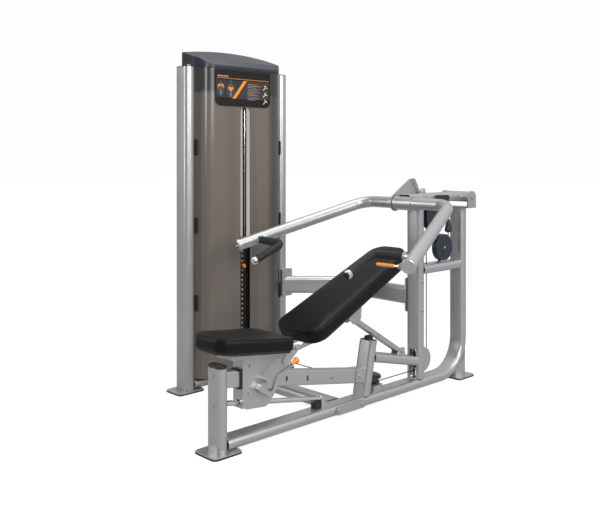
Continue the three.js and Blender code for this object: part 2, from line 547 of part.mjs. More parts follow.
function makePulleyCovers() {
  // Domed cover over the turning pulley, open where the cable comes in and leaves.
  const rim = 72;
  const { x, y } = TURN_PULLEY;
  const dome = turned([[0, 0], [rim - 4, 0], [rim - 4, -12], [rim, -12], [rim, 5], [rim - 6, 12],
    [rim - 24, 17], [0, 19]], V3(x, y, CABLE_Z + 14), AZ, 20);
  const leaves = box(-60, 40, y + 4, y + 78, 84, CABLE_Z + 13.9);
  const comesIn = box(-140, -57, y - 82, y - 12, 84, CABLE_Z + 13.9);
  add('turning_cover', navy, cut(dome, leaves, comesIn));

  // Round cover over the lower pulley: two dished discs that meet at their rims.
  const low = (x0, x1, y0, y1, z0, z1) => box(
    x0, x1, LOW_PULLEY.y + y0, LOW_PULLEY.y + y1, LOW_PULLEY.z + z0, LOW_PULLEY.z + z1);
  const half = (side) => turned([[0, -3.6], [COVER_R - 3, -3.6], [COVER_R - 3, -18.2], [COVER_R, -18.2],
    [COVER_R, -2], [COVER_R - 3, 0], [0, 0]],
  V3(side * 18, LOW_PULLEY.y, LOW_PULLEY.z), V3(side, 0, 0), 22);
  add('lower_pulley_cover', navy, cut(join(half(1), half(-1)),
    low(-17, 17, -29, 29, -92, -52), low(-9, 9, -68, -34, 20, 80), low(-9, 9, 44, 72, 10, 80)));
}

function makeCable() {
  const topZ = TOP_PULLEY.z + TOP_PULLEY.r;
  const x = STACK.x;
  const riseY = SLOT_PULLEY.y + SLOT_PULLEY.r;
  const fixed = cornerRoute([
    V3(x, STACK.y, TOP_PULLEY.z - 5), V3(x, STACK.y, topZ), V3(x, BASE_PULLEY.y, topZ),
    V3(x, BASE_PULLEY.y, CABLE_Z), V3(0, BASE_PULLEY.y, CABLE_Z), V3(0, riseY, CABLE_Z),
    V3(0, riseY, SLOT_PULLEY.z + 5)],
  [TOP_PULLEY.r, TOP_PULLEY.r, BASE_PULLEY.r, TURN_PULLEY.r, SLOT_PULLEY.r], 4);
  add('cable_fixed_run', cableBlack, cord(fixed));
  const headTop = STACK.base + STACK.pitch * STACK.count + 52;
  add('cable_head_run', cableBlack, cord(cornerRoute([
    V3(x, STACK.y, headTop + GAP), V3(x, STACK.y, TOP_PULLEY.z - 5 - GAP)], 0)));

  // Up to the beam pulley, down the inner tangent to the lower pulley, and up to the stopper.
  const dy = (LOW_PULLEY.y - BEAM_PULLEY.y) / 2;
  const dz = (LOW_PULLEY.z - BEAM_PULLEY.z) / 2;
  const leave = THREE.MathUtils.radToDeg(Math.atan2(dz, dy) + Math.acos(BEAM_PULLEY.r / Math.hypot(dy, dz)));
  const anchorY = LOW_PULLEY.y + LOW_PULLEY.r;
  const station = (y, z) => ({ point: V3(0, y, z), tangent: V3(0, 0, 1) });
  const arm = new Route([
    station(riseY, SLOT_PULLEY.z + 5 + GAP), ...wrapRoute(BEAM_PULLEY, 180, leave, 7).stations,
    ...wrapRoute(LOW_PULLEY, 180 + leave, 360, 7).stations, station(anchorY, 832 - GAP)]);
  add('cable_arm_run', cableBlack, cord(arm));
  add('cable_stopper', rubber, turned([
    [0, 0], [12, 0], [21, 8], [19, 24], [9, 73], [4, 76], [4, 178.4], [0, 178.4]],
  V3(0, anchorY, 832), AZ, 12));
}

// ---------------------------------------------------------------- press arm
// The lock pin points at the arm's cross bar, in line with the sector's first hole.
const lockWay = V3(0, Math.cos(radians(SECTOR.firstHole)), Math.sin(radians(SECTOR.firstHole)));
const lockAt = (r) => V3(-64, BAR.y + r * lockWay.y, BAR.z + r * lockWay.z);

function makePressBeam() {
  const sleeveR = 38;
  const tube = alongY(frameSection(), BEAM.y0, BEAM.y1, BEAM.z);
  const cope = rod(sleeveR - 1, V3(-60, BAR.y, BAR.z), V3(60, BAR.y, BAR.z), 20);
  const tail = rod(29, V3(-60, PIVOT.y, PIVOT.z), V3(60, PIVOT.y, PIVOT.z), 18);
  const sleeve = ring(32.2, sleeveR, V3(-62, BAR.y, BAR.z), V3(54, BAR.y, BAR.z), 20);
  const barrel = ring(13, 30, V3(-PIVOT.half, PIVOT.y, PIVOT.z), V3(PIVOT.half, PIVOT.y, PIVOT.z), 18);
  const under = BEAM.z - 25 + WELD;
  const cheek = (side) => slabX(rounded([
    [BEAM_PULLEY.y - 26, under, 0], [BEAM_PULLEY.y - 20, BEAM_PULLEY.z - 22, 14],
    [BEAM_PULLEY.y + 20, BEAM_PULLEY.z - 22, 14], [BEAM_PULLEY.y + 26, under, 0]], 3),
  side * 12 - 1.8, side * 12 + 1.8);
  const pulleyAxle = axle(V3(0, BEAM_PULLEY.y, BEAM_PULLEY.z), AX, 13);
  // Housing of the lock pin with the rib that holds it, the lock lever's stud and its stop plate.
  const housing = ring(6, 14, lockAt(SECTOR.r + 14), lockAt(SECTOR.r + 60), 12);
  const rib = box(-56, -46, 1488, 1528, 1046, 1064);
  const stud = rod(7, V3(46.5, 1588, 1033), V3(52.6, 1588, 1033), 10);
  const stop = slabX(roundedRect(36, 28, 6, 1, 1394, 1040), 46.5, 53);
  const bolt = boltHead(V3(52, 1394, 1042), AX, 8, 7);
  add('press_beam', silver, join(cut(tube, cope, tail), sleeve, barrel, cheek(1), cheek(-1), pulleyAxle,
    housing, rib, stud, stop, bolt));
  const side = (s) => slabX([
    V2(BEAM_PULLEY.y - COVER_R, 1010.4), ...arcPoints(BEAM_PULLEY.y, BEAM_PULLEY.z, COVER_R, 180, 360, 14),
    V2(BEAM_PULLEY.y + COVER_R, 1010.4)], s * 16 - 1.9, s * 16 + 1.9);
  const strip = (y) => box(-17, 17, y - 18, y + 18, 1001, 1010.4);
  add('beam_pulley_cover', navy, join(
    side(1), side(-1), strip(BEAM_PULLEY.y - 57), strip(BEAM_PULLEY.y + 57)));
}

function makePivot() {
  const ear = (side) => slabX(rounded([
    [1731, UPRIGHT_TOP + GAP, 0], [1809, UPRIGHT_TOP + GAP, 0], [1809, 1067, 34], [1735, 1067, 34]], 4),
  side * 92.5 - 4.5, side * 92.5 + 4.5);
  const floor = box(-97, 97, 1731, 1809, UPRIGHT_TOP + GAP, 977);
  const shaft = rod(12, V3(-90, PIVOT.y, PIVOT.z), V3(90, PIVOT.y, PIVOT.z), 14);
  const head = (side) => boltHead(V3(side * 96, PIVOT.y, PIVOT.z), V3(side, 0, 0), 15, 10);
  add('pivot_bracket', silver, join(ear(1), ear(-1), floor, shaft, head(1), head(-1)));
}

function makeArms() {
  const far = V3(-ARM_END.x, ARM_END.y, ARM_END.z);
  const route = cornerRoute([
    far, V3(-BAR.bendX, BAR.y, BAR.z), V3(BAR.bendX, BAR.y, BAR.z), ARM_END], BAR.bendR, 4);
  const tube = sweep(shapeOf(circle(0, 0, BAR.r, 18), circle(0, 0, BAR.r - 3, 12)), route);
  const bend = (side) => V3(side * BAR.bendX, BAR.y, BAR.z);
  const end = (side) => V3(side * ARM_END.x, ARM_END.y, ARM_END.z);
  const cap = (side) => {
    const out = end(side).sub(bend(side)).normalize();
    const disc = turned([[0, -1], [33, -1], [34, 3], [34, 11], [31, 14], [0, 14]], end(side), out, 18);
    return join(disc, boltHead(end(side).addScaledVector(out, 13.5), out, 8, 5));
  };
  const clamp = box(521, 541, 603, 632, 776, 806);
  const drain = rod(4, V3(180, BAR.y, BAR.z - 40), V3(180, BAR.y, BAR.z - 20), 6);
  const inside = rod(BAR.r - 2, end(1), bend(1), 12);
  add('arm_tube', silver, cut(join(tube, cap(1), cap(-1), cut(clamp, inside)), drain));

  for (const [label, side] of [['left', 1], ['right', -1]]) {
    const root = V3(side * 522, 692, 822);
    const elbow = V3(side * 300, 676, 820);
    const tip = V3(side * 316, 508, 749);
    const inward = elbow.clone().sub(root).normalize();
    const outward = tip.clone().sub(elbow).normalize();
    const bar = sweep(shapeOf(circle(0, 0, HANDLE.r, 10)), cornerRoute([root, elbow, tip], HANDLE.bend, 4));
    const along = (d) => root.clone().addScaledVector(inward, d);
    const collar = ring(HANDLE.r - 1, 23, along(30), along(43), 12);
    const knob = turned([[0, -1], [19, -1], [21, 3], [21, 14], [16, 20], [0, 21]], tip, outward, 14);
    const saddle = rod(BAR.r + 0.7, end(side), bend(side), 24);
    add(`${label}_handle`, chrome, cut(join(bar, collar, knob), saddle));
    const foam = cornerRoute([along(44), elbow, tip.clone().addScaledVector(outward, -2)], HANDLE.bend, 4);
    const section = shapeOf(circle(0, 0, HANDLE.grip, 12), circle(0, 0, HANDLE.r + 0.9, 10));
    add(`${label}_grip`, rubber, sweep(section, foam));
  }
}

function makeSector() {
  const at = (deg, r) => V2(BAR.y + r * Math.cos(radians(deg)), BAR.z + r * Math.sin(radians(deg)));
  const web = slabX(shapeOf([
    ...arcPoints(BAR.y, BAR.z, SECTOR.r, SECTOR.low, SECTOR.high, 6), at(SECTOR.high + 4, SECTOR.r - 14),
    ...arcPoints(BAR.y, BAR.z, 46, 110, 330, 8)], circle(BAR.y, BAR.z, BAR.r + 1, 18)), -75, -67);
  const rim = slabX([
    ...arcPoints(BAR.y, BAR.z, SECTOR.r + 6, SECTOR.low, SECTOR.high, 6),
    ...arcPoints(BAR.y, BAR.z, SECTOR.r - 2, SECTOR.high, SECTOR.low, 6)], -76, -50);
  const holes = Array.from({ length: SECTOR.holes }, (_, i) => {
    const deg = SECTOR.firstHole + SECTOR.pitch * i;
    const inner = at(deg, SECTOR.r - 12);
    const outer = at(deg, SECTOR.r + 16);
    return rod(5, V3(-59, inner.x, inner.y), V3(-59, outer.x, outer.y), 6);
  });
  add('sector_plate', silver, cut(join(web, rim), ...holes));
}

function makeLock() {
  add('lock_pin', chrome, turned([[0, 0], [4, 2], [4.5, 70], [0, 70]], lockAt(SECTOR.r + 7.5), lockWay, 10));
  const lever = slabX(rounded([
    [1487, 1034, 8], [1584, 1016, 15], [1604, 1024, 15], [1602, 1048, 15], [1578, 1050, 12],
    [1487, 1052, 8]], 3), 53, 62);
  add('lock_lever', rubber, lever);
}

function makeReleaseLever() {
  const at = (x) => V3(x, 612, 789 - (508 - x) * 0.016);
  const root = extrude(roundedRect(14, 18, 4, 2), 8.5)
    .applyMatrix4(basis(AY, AZ, AX, V3(507.5, at(508).y, at(508).z)));
  add('release_lever', chrome, join(root, rod(5, at(509), at(396), 8)));
  const grip = turned([
    [5.7, 0], [7, 0], [8.2, 4], [7.8, 30], [8.4, 60], [8.4, 94], [6.6, 99], [5.7, 99], [5.7, 0]],
  at(484), at(383).sub(at(508)), 12);
  add('release_grip', orange, grip);
}

// ---------------------------------------------------------------- seat and back
function makeCarriage() {
  const outline = rounded([
    [152, 388, 4], [416, 366, 6], [408, 306, 14], [361, 262, 30], [315, 191, 12], [275, 153, 16],
    [155, 164, 14], [138, 186, 8], [138, 388, 4]], 2);
  const side = (s) => slabX(outline, Math.min(s * 28, s * 33), Math.max(s * 28, s * 33));
  const front = box(-33, 33, 138, 143, 170, 386);
  const rear = box(-33, 33, 402, 407, 318, 364);
  const onRail = (v) => {
    v.z += RAIL.z0 + RAIL.slope * (v.y - RAIL.y0);
  };
  const railSpace = reshape(alongY(roundedRect(RAIL.w + 3, RAIL.h + 3, 8, 2), 0, 1, 0), (v) => {
    v.y = v.y > 0.5 ? 600 : 60;
    onRail(v);
  });
  const rodZ = (y) => ROD.z0 + RAIL.slope * (y - ROD.y0);
  const rodSpace = rod(16, V3(0, 100, rodZ(100)), V3(0, 200, rodZ(200)), 12);
  const ears = (s) => slabX(rounded([
    [372, 322, 6], [408, 322, 6], [464, 372, 12], [462, 399, 12], [438, 399, 12], [372, 352, 6]], 3),
  Math.min(s * 32, s * 38.6), Math.max(s * 32, s * 38.6));
  // Shallow tray under the seat board, welded to the top edges of the side plates.
  const tray = (half, y0, y1, lift, over) => slabX([
    V2(y0, 395 - 0.0833 * (y0 - 62) + lift), V2(y1, 395 - 0.0833 * (y1 - 62) + lift),
    V2(y1, seatBottom(y1) + over), V2(y0, seatBottom(y0) + over)], -half, half);
  const frame = cut(tray(50, 62, 392, 0, -GAP), tray(46, 66, 388, 5, 10));
  // Plunger barrel, the release lever's block and three bolts on the +X side plate.
  const barrel = rod(11, V3(31, 250, 281), V3(74, 250, 281), 12);
  const block = extrude(roundedRect(84, 30, 5, 2), 34)
    .applyMatrix4(basis(V3(0, 0.85, -0.527), V3(0, 0.527, 0.85), AX, V3(31, 246, 234)));
  const bolts = [[182, 349], [374, 338], [176, 233]].map(([y, z]) => boltHead(V3(32, y, z), AX, 9, 7));
  const body = cut(join(side(1), side(-1), front, rear, ears(1), ears(-1)), railSpace, rodSpace);
  add('seat_carriage', silver, join(body, frame, barrel, block, ...bolts));

  // Plastic guide at the front, which runs on the rail.
  const guide = shapeOf(
    roundedRect(RAIL.w + 14, RAIL.h + 14, 10, 2), roundedRect(RAIL.w + 1, RAIL.h + 1, 9, 2));
  add('carriage_bushing', rubber, reshape(alongY(guide, 126, 137.6, 0), onRail));
}

const seatBottom = (y) => SEAT.z + Math.tan(radians(SEAT.tilt)) * (y - SEAT.y);

function makeSeat() {
  const seat = new THREE.Group();
  seat.position.set(0, SEAT.y, SEAT.z);
  seat.rotation.x = radians(SEAT.tilt);
  machine.add(seat);
  const plan = (inset) => rounded([
    [-SEAT.half + 22 + inset, inset, 80], [SEAT.half - 22 - inset, inset, 80],
    [SEAT.half - inset, SEAT.length - inset, 34], [-SEAT.half + inset, SEAT.length - inset, 34]], 5);
  add('seat_board', board, slabZ(plan(10), 0, SEAT.board), seat);
  const round = 12;
  add('seat_cushion', vinyl, slabZ(plan(0), SEAT.board + GAP + round, SEAT.thick - round,
    roundedEdge(round)), seat);
}

function makeBack() {
  const back = new THREE.Group();
  back.position.set(0, BACK.y, BACK.z);
  back.rotation.x = radians(BACK.tilt);
  machine.add(back);
  const plan = (inset) => rounded([
    [-BACK.half + inset, inset, 70], [BACK.half - inset, inset, 70],
    [BACK.topHalf - inset, BACK.length - inset, 85], [-BACK.topHalf + inset, BACK.length - inset, 85]], 5);
  add('back_board', board, slabZ(plan(12), 0, BACK.board), back);
  const round = 14;
  add('back_cushion', vinyl, slabZ(plan(0), BACK.board + GAP + round, BACK.thick - round,
    roundedEdge(round)), back);
  // Hinge arms under the lower end, in the pad's own slope.
  const arm = (s) => slabX(rounded([
    [-48, 12, 10], [-24, 16, 10], [-8, -GAP, 4], [150, -GAP, 0], [150, -8, 0], [52, -32, 12],
    [-34, -12, 10]], 3),
  Math.min(s * 39.2, s * 45), Math.max(s * 39.2, s * 45));
  // Tall cheeks that carry the prop's upper pivot.
  const cheek = (s) => slabX(rounded([
    [300, -GAP, 0], [470, -GAP, 0], [402, -126, 24], [348, -126, 24]].reverse(), 3),
  Math.min(s * 24, s * 29), Math.max(s * 24, s * 29));
  const bolt = (s) => boltHead(V3(s * 44, -36.4, 3.7), V3(s, 0, 0), 9, 7);
  const plate = slabZ(roundedRect(96, 458, 8, 1, 0, 245), -4, -GAP);
  add('back_bracket', silver, join(plate, arm(1), arm(-1), cheek(1), cheek(-1), bolt(1), bolt(-1)), back);
}

function makeProp() {
  const foot = V3(0, PROP.footY, PROP.footZ);
  const top = V3(0, PROP.topY, PROP.topZ);
  const way = top.clone().sub(foot).normalize();
  const tube = extrude(tubeSection(PROP.w, PROP.h, 7, 2.5, 2), foot.distanceTo(top) - 24)
    .applyMatrix4(basis(AX, way.clone().cross(AX).normalize(), way, foot.clone().addScaledVector(way, 12)));
  const across = (at, half, r, sides) => rod(
    r, at.clone().add(V3(-half, 0, 0)), at.clone().add(V3(half, 0, 0)), sides);
  const middle = foot.clone().lerp(top, 0.5);
  add('back_prop', silver, cut(
    join(tube, across(foot, PROP.w / 2, 17, 12), across(top, 23, 15, 12)),
    across(foot, 40, 9, 12), across(middle, 40, 4, 6)));
}

function makeSeatLever() {
  const lever = cornerRoute([
    V3(65.6, 264, 236), V3(80, 264, 236), V3(80, 292, 300), V3(92, 360, 331), V3(96, 400, 349)],
  [6, 20, 30], 3);
  add('seat_lever', iron, sweep(shapeOf(circle(0, 0, 4, 8)), lever));
  const from = V3(92, 360, 331);
  const along = V3(96, 400, 349).sub(from).normalize();
  const spool = turned([
    [5, 8], [10, 8], [9, 28], [14, 36], [15, 44], [11, 50], [5, 50], [5, 8]], from, along, 12);
  add('seat_lever_grip', orange, spool);
}

makeFeet();
makeBaseRail();
makePosts();
makeMainUpright();
makeRearLowTube();
makeCrossBeam();
makeSeatRail();
makeGuideRod();
makeTower();
makeShrouds();
makeCap();
makeWeights();
makePulleys();
makePulleyCovers();
makeCable();
makePivot();
makePressBeam();
makeArms();
makeSector();
makeLock();
makeReleaseLever();
makeCarriage();
makeSeat();
makeBack();
makeProp();
makeSeatLever();

machine.position.set(150.8, -892.5, 0);
export default machine;
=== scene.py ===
"""Looks of the chest press machine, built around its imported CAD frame.

Places are written in millimetres from the machine's own centre plane, the front post's
footing and the floor, and at() turns them into metres in the row frame.
"""

import math

import bmesh
import bpy
from mathutils import Matrix, Vector


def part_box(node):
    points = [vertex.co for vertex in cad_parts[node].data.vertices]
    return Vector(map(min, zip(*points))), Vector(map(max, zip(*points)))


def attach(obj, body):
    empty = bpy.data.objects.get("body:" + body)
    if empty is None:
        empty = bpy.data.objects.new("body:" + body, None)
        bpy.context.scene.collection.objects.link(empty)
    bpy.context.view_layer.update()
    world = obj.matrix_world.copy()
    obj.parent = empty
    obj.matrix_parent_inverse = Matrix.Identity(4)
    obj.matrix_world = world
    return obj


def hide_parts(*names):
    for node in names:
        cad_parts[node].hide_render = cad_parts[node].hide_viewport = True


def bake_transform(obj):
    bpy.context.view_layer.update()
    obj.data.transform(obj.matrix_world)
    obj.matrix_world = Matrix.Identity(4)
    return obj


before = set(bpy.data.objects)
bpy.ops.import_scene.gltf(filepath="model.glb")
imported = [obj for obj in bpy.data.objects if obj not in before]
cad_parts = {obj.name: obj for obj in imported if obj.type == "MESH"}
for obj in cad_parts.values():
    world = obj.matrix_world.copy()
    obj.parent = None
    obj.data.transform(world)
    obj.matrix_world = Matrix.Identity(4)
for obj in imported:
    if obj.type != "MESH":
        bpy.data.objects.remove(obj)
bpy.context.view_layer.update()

MM = 0.001
FRONT_FOOT_Y = 32  # middle of the front foot, from the front post's footing
foot_low, foot_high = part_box("front_foot")
ORIGIN = Vector((
    (foot_low.x + foot_high.x) / 2, (foot_low.y + foot_high.y) / 2 - FRONT_FOOT_Y * MM, 0))

AX, AY, AZ = Vector((1, 0, 0)), Vector((0, 1, 0)), Vector((0, 0, 1))
CABLE_R = 2.75
STACK_X, STACK_Y, STACK_BASE, PITCH = -822, 782, 104, 26.7
STACK_FACE = STACK_X + 65
PLATES, LIFTED = 25, 5
SHROUD_FACE = -730
UPRIGHT_X, UPRIGHT_YS = -832, (448, 1116)
BEAM_PULLEY, LOWER_PULLEY = (1529, 925), (1618, 752)  # centres, as (Y, Z)
PULLEY_R = 57
EDGE_WIDTH, EDGE_ANGLE = 0.0007, math.radians(38)  # edges rounded on every CAD node
PAD_STEP, PAD_PRESSURE, PAD_SWELL = 7, 2.5, 0.0045  # ring spacing in mm, cloth pressure, greatest swell in m
PAD_FRAMES = 20
SEAM_DEPTH, PIPING_R = 1.4, 1.5


def at(x, y, z):
    """A place in the machine's millimetres, in the row frame's metres."""
    return ORIGIN + Vector((x, y, z)) * MM


# ---------------------------------------------------------------- camera, floor and light
def make_camera():
    data = bpy.data.cameras.new("camera")
    camera = bpy.data.objects.new("camera", data)
    bpy.context.scene.collection.objects.link(camera)
    camera.location = at(2660, -2016, 1255)
    camera.rotation_euler = (math.radians(90), 0, math.radians(46.33))
    data.sensor_width = 36
    data.lens = 47.082
    data.shift_x = -0.00333
    data.shift_y = -0.16417
    bpy.context.scene.camera = camera


def area_light(name, place, target, size, power, color=(1, 1, 1)):
    data = bpy.data.lights.new(name, "AREA")
    data.shape = "RECTANGLE"
    data.size, data.size_y = size
    data.energy = power
    data.color = color
    light = bpy.data.objects.new(name, data)
    bpy.context.scene.collection.objects.link(light)
    light.location = place
    light.rotation_euler = (Vector(target) - Vector(place)).to_track_quat("-Z", "Y").to_euler()


def make_world():
    """White to the camera; for light and gloss a grey surround, brighter overhead and to the right."""
    world = bpy.data.worlds.new("studio")
    bpy.context.scene.world = world
    world.use_nodes = True
    nodes, links = world.node_tree.nodes, world.node_tree.links
    nodes.clear()
    coords = nodes.new("ShaderNodeTexCoord")
    split = nodes.new("ShaderNodeSeparateXYZ")
    ramp = nodes.new("ShaderNodeValToRGB")
    ramp.color_ramp.elements[0].position = 0.0
    ramp.color_ramp.elements[0].color = (0.34, 0.34, 0.345, 1)
    ramp.color_ramp.elements[1].position = 1.0
    ramp.color_ramp.elements[1].color = (0.9, 0.9, 0.91, 1)
    scale = nodes.new("ShaderNodeMapRange")
    scale.inputs["From Min"].default_value = -0.4
    scale.inputs["From Max"].default_value = 0.9
    soft = nodes.new("ShaderNodeBackground")
    white = nodes.new("ShaderNodeBackground")
    white.inputs["Color"].default_value = (1, 1, 1, 1)
    white.inputs["Strength"].default_value = 0.985
    side = nodes.new("ShaderNodeVectorMath")
    side.operation = "DOT_PRODUCT"
    side.inputs[1].default_value = (0.72, 0.69, 0)
    across = nodes.new("ShaderNodeMapRange")
    across.inputs["From Min"].default_value = -1
    across.inputs["To Min"].default_value = 0.5
    across.inputs["To Max"].default_value = 1.1
    links.new(coords.outputs["Generated"], side.inputs[0])
    links.new(side.outputs["Value"], across.inputs["Value"])
    links.new(across.outputs[0], soft.inputs["Strength"])
    path = nodes.new("ShaderNodeLightPath")
    mix = nodes.new("ShaderNodeMixShader")
    out = nodes.new("ShaderNodeOutputWorld")
    links.new(coords.outputs["Generated"], split.inputs[0])
    links.new(split.outputs["Z"], scale.inputs["Value"])
    links.new(scale.outputs[0], ramp.inputs[0])
    links.new(ramp.outputs[0], soft.inputs["Color"])
    links.new(path.outputs["Is Camera Ray"], mix.inputs[0])
    links.new(soft.outputs[0], mix.inputs[1])
    links.new(white.outputs[0], mix.inputs[2])
    links.new(mix.outputs[0], out.inputs["Surface"])


def make_studio():
    bpy.context.scene.view_settings.view_transform = "Standard"
    bpy.context.scene.view_settings.look = "None"
    make_world()
    middle = (0.1, 0.1, 0.8)
    area_light("front_key", (2.9, -2.0, 2.5), middle, (0.8, 2.2), 62)
    area_light("right_key", (4.0, 0.9, 2.6), middle, (1.4, 2.2), 62)
    area_light("left_fill", (-2.4, -3.2, 2.0), middle, (1.0, 2.4), 26)
    area_light("top", (0.1, 0.2, 4.2), middle, (3.0, 3.0), 55)
    mesh = bpy.data.meshes.new("floor")
    reach = 40
    mesh.from_pydata([(-reach, -reach, 0), (reach, -reach, 0), (reach, reach, 0), (-reach, reach, 0)],
                     [], [(0, 1, 2, 3)])
    floor = bpy.data.objects.new("floor", mesh)
    bpy.context.scene.collection.objects.link(floor)
    floor.data.materials.append(FLOOR_PAINT)


# ---------------------------------------------------------------- materials
class Graph:
    """Short way to build one material's nodes."""

    def __init__(self, name, color, metallic=0.0, roughness=0.5, **sockets):
        self.material = bpy.data.materials.new(name)
        self.material.use_nodes = True
        self.nodes, self.links = self.material.node_tree.nodes, self.material.node_tree.links
        self.shader = self.nodes["Principled BSDF"]
        self.color = (*color, 1)
        self.shader.inputs["Base Color"].default_value = self.color
        self.shader.inputs["Metallic"].default_value = metallic
        self.shader.inputs["Roughness"].default_value = roughness
        for socket, value in sockets.items():
            self.shader.inputs[socket.replace("_", " ")].default_value = value
        self.coords = self.nodes.new("ShaderNodeTexCoord").outputs["Object"]

    def noise(self, scale, detail=3.0, stretch=None):
        source = self.coords
        if stretch:
            mapping = self.nodes.new("ShaderNodeMapping")
            mapping.inputs["Scale"].default_value = stretch
            self.links.new(source, mapping.inputs["Vector"])
            source = mapping.outputs[0]
        node = self.nodes.new("ShaderNodeTexNoise")
        node.inputs["Scale"].default_value = scale
        node.inputs["Detail"].default_value = detail
        self.links.new(source, node.inputs["Vector"])
        return node.outputs["Fac"]

    def cells(self, scale):
        node = self.nodes.new("ShaderNodeTexVoronoi")
        node.inputs["Scale"].default_value = scale
        self.links.new(self.coords, node.inputs["Vector"])
        return node.outputs["Distance"]

    def axis(self, name):
        node = self.nodes.new("ShaderNodeSeparateXYZ")
        self.links.new(self.coords, node.inputs[0])
        return node.outputs[name]

    def spread(self, value, low, high, to_low=0.0, to_high=1.0, smooth=False):
        node = self.nodes.new("ShaderNodeMapRange")
        if smooth:
            node.interpolation_type = "SMOOTHSTEP"
        for label, number in (("From Min", low), ("From Max", high), ("To Min", to_low), ("To Max", to_high)):
            node.inputs[label].default_value = number
        self.links.new(value, node.inputs["Value"])
        return node.outputs[0]

    def math(self, kind, a, b):
        node = self.nodes.new("ShaderNodeMath")
        node.operation = kind
        for socket, value in zip(node.inputs, (a, b)):
            if isinstance(value, (int, float)):
                socket.default_value = value
            else:
                self.links.new(value, socket)
        return node.outputs[0]

    def paint(self, fac, other, base=None):
        """Mixes another colour over the base one where fac is high."""
        node = self.nodes.new("ShaderNodeMix")
        node.data_type = "RGBA"
        self.links.new(fac, node.inputs["Factor"])
        if base is None:
            node.inputs[6].default_value = self.color
        else:
            self.links.new(base, node.inputs[6])
        node.inputs[7].default_value = (*other, 1)
        self.links.new(node.outputs[2], self.shader.inputs["Base Color"])
        return node.outputs[2]

    def rough(self, value, low, high, to_low, to_high):
        self.links.new(self.spread(value, low, high, to_low, to_high), self.shader.inputs["Roughness"])

    def bump(self, height, distance, strength=0.5):
        node = self.nodes.new("ShaderNodeBump")
        node.inputs["Strength"].default_value = strength
        node.inputs["Distance"].default_value = distance
        self.links.new(height, node.inputs["Height"])
        self.links.new(node.outputs[0], self.shader.inputs["Normal"])


def silver_paint():
    """Satin powder coat: fine orange peel and a slight mottle in shade and gloss. Below the feet's
    plates it turns into rubber."""
    g = Graph("silver_powder_coat", (0.50, 0.502, 0.506), 0.75, 0.3)
    mottle = g.noise(14, 4)
    fine = g.noise(900, 2)
    toned = g.paint(g.spread(mottle, 0.35, 0.7, 0, 0.3), (0.45, 0.452, 0.456))
    low = g.spread(g.axis("Z"), 0.0076, 0.0078, 1, 0)
    g.paint(low, (0.010, 0.010, 0.010), toned)
    g.links.new(g.spread(g.axis("Z"), 0.0076, 0.0078, 0, 0.75), g.shader.inputs["Metallic"])
    g.rough(mottle, 0.3, 0.7, 0.27, 0.34)
    g.bump(fine, 0.00004, 0.15)
    return g.material


def chrome_plate():
    g = Graph("chrome_plate", (0.74, 0.74, 0.75), 1.0, 0.12)
    haze = g.noise(60, 4)
    g.rough(haze, 0.3, 0.7, 0.08, 0.2)
    g.paint(g.spread(haze, 0.4, 0.75, 0, 0.4), (0.6, 0.6, 0.61))
    g.bump(g.noise(500, 2), 0.00004, 0.2)
    return g.material


def navy_plastic():
    g = Graph("navy_moulded_plastic", (0.020, 0.024, 0.037), 0.0, 0.3, Specular_IOR_Level=0.4)
    g.paint(g.spread(g.noise(25), 0.35, 0.7, 0, 0.4), (0.026, 0.031, 0.046))
    g.rough(g.noise(40), 0.3, 0.7, 0.25, 0.38)
    g.bump(g.noise(500, 2), 0.00005, 0.12)
    return g.material


def black_rubber():
    g = Graph("black_rubber", (0.012, 0.012, 0.0125), 0.0, 0.6)
    g.paint(g.spread(g.noise(70), 0.4, 0.7, 0, 0.6), (0.02, 0.02, 0.021))
    g.rough(g.noise(110), 0.3, 0.7, 0.5, 0.7)
    g.bump(g.noise(800, 2), 0.00015, 0.4)
    return g.material


def grip_foam():
    g = Graph("closed_cell_foam", (0.014, 0.0145, 0.0155), 0.0, 0.62, Specular_IOR_Level=0.3)
    g.paint(g.spread(g.cells(500), 0.2, 0.7, 0, 0.6), (0.024, 0.025, 0.027))
    g.rough(g.noise(90), 0.3, 0.7, 0.5, 0.7)
    g.bump(g.cells(650), 0.0004, 0.5)
    return g.material


def black_vinyl():
    """Upholstery vinyl: pebble grain about a millimetre across, and gloss that varies with handling."""
    g = Graph("black_vinyl", (0.0032, 0.0032, 0.0034), 0.0, 0.38, Specular_IOR_Level=0.2)
    wear = g.noise(9, 4)
    g.paint(g.spread(wear, 0.4, 0.7, 0, 0.7), (0.0048, 0.0048, 0.005))
    g.rough(wear, 0.3, 0.7, 0.34, 0.44)
    pebbles = g.spread(g.cells(900), 0, 0.6, 0, 0.8)
    pores = g.spread(g.noise(420, 3), 0.3, 0.7, 0, 0.5)
    g.bump(g.math("ADD", pebbles, pores), 0.00025, 0.25)
    return g.material


def painted_board():
    g = Graph("black_painted_board", (0.011, 0.011, 0.011), 0.0, 0.55)
    grain = g.noise(30, 5, (9, 0.7, 9))
    g.paint(g.spread(grain, 0.4, 0.7, 0, 0.6), (0.02, 0.019, 0.018))
    g.rough(grain, 0.3, 0.7, 0.45, 0.65)
    g.bump(grain, 0.0004, 0.3)
    return g.material


def gloss_orange():
    g = Graph("gloss_orange", (0.83, 0.27, 0.018), 0.0, 0.3, Coat_Weight=0.4, Coat_Roughness=0.12)
    g.paint(g.spread(g.noise(60), 0.4, 0.75, 0, 0.35), (0.72, 0.21, 0.012))
    g.rough(g.noise(80), 0.3, 0.7, 0.24, 0.4)
    g.bump(g.noise(700, 2), 0.00008, 0.25)
    return g.material


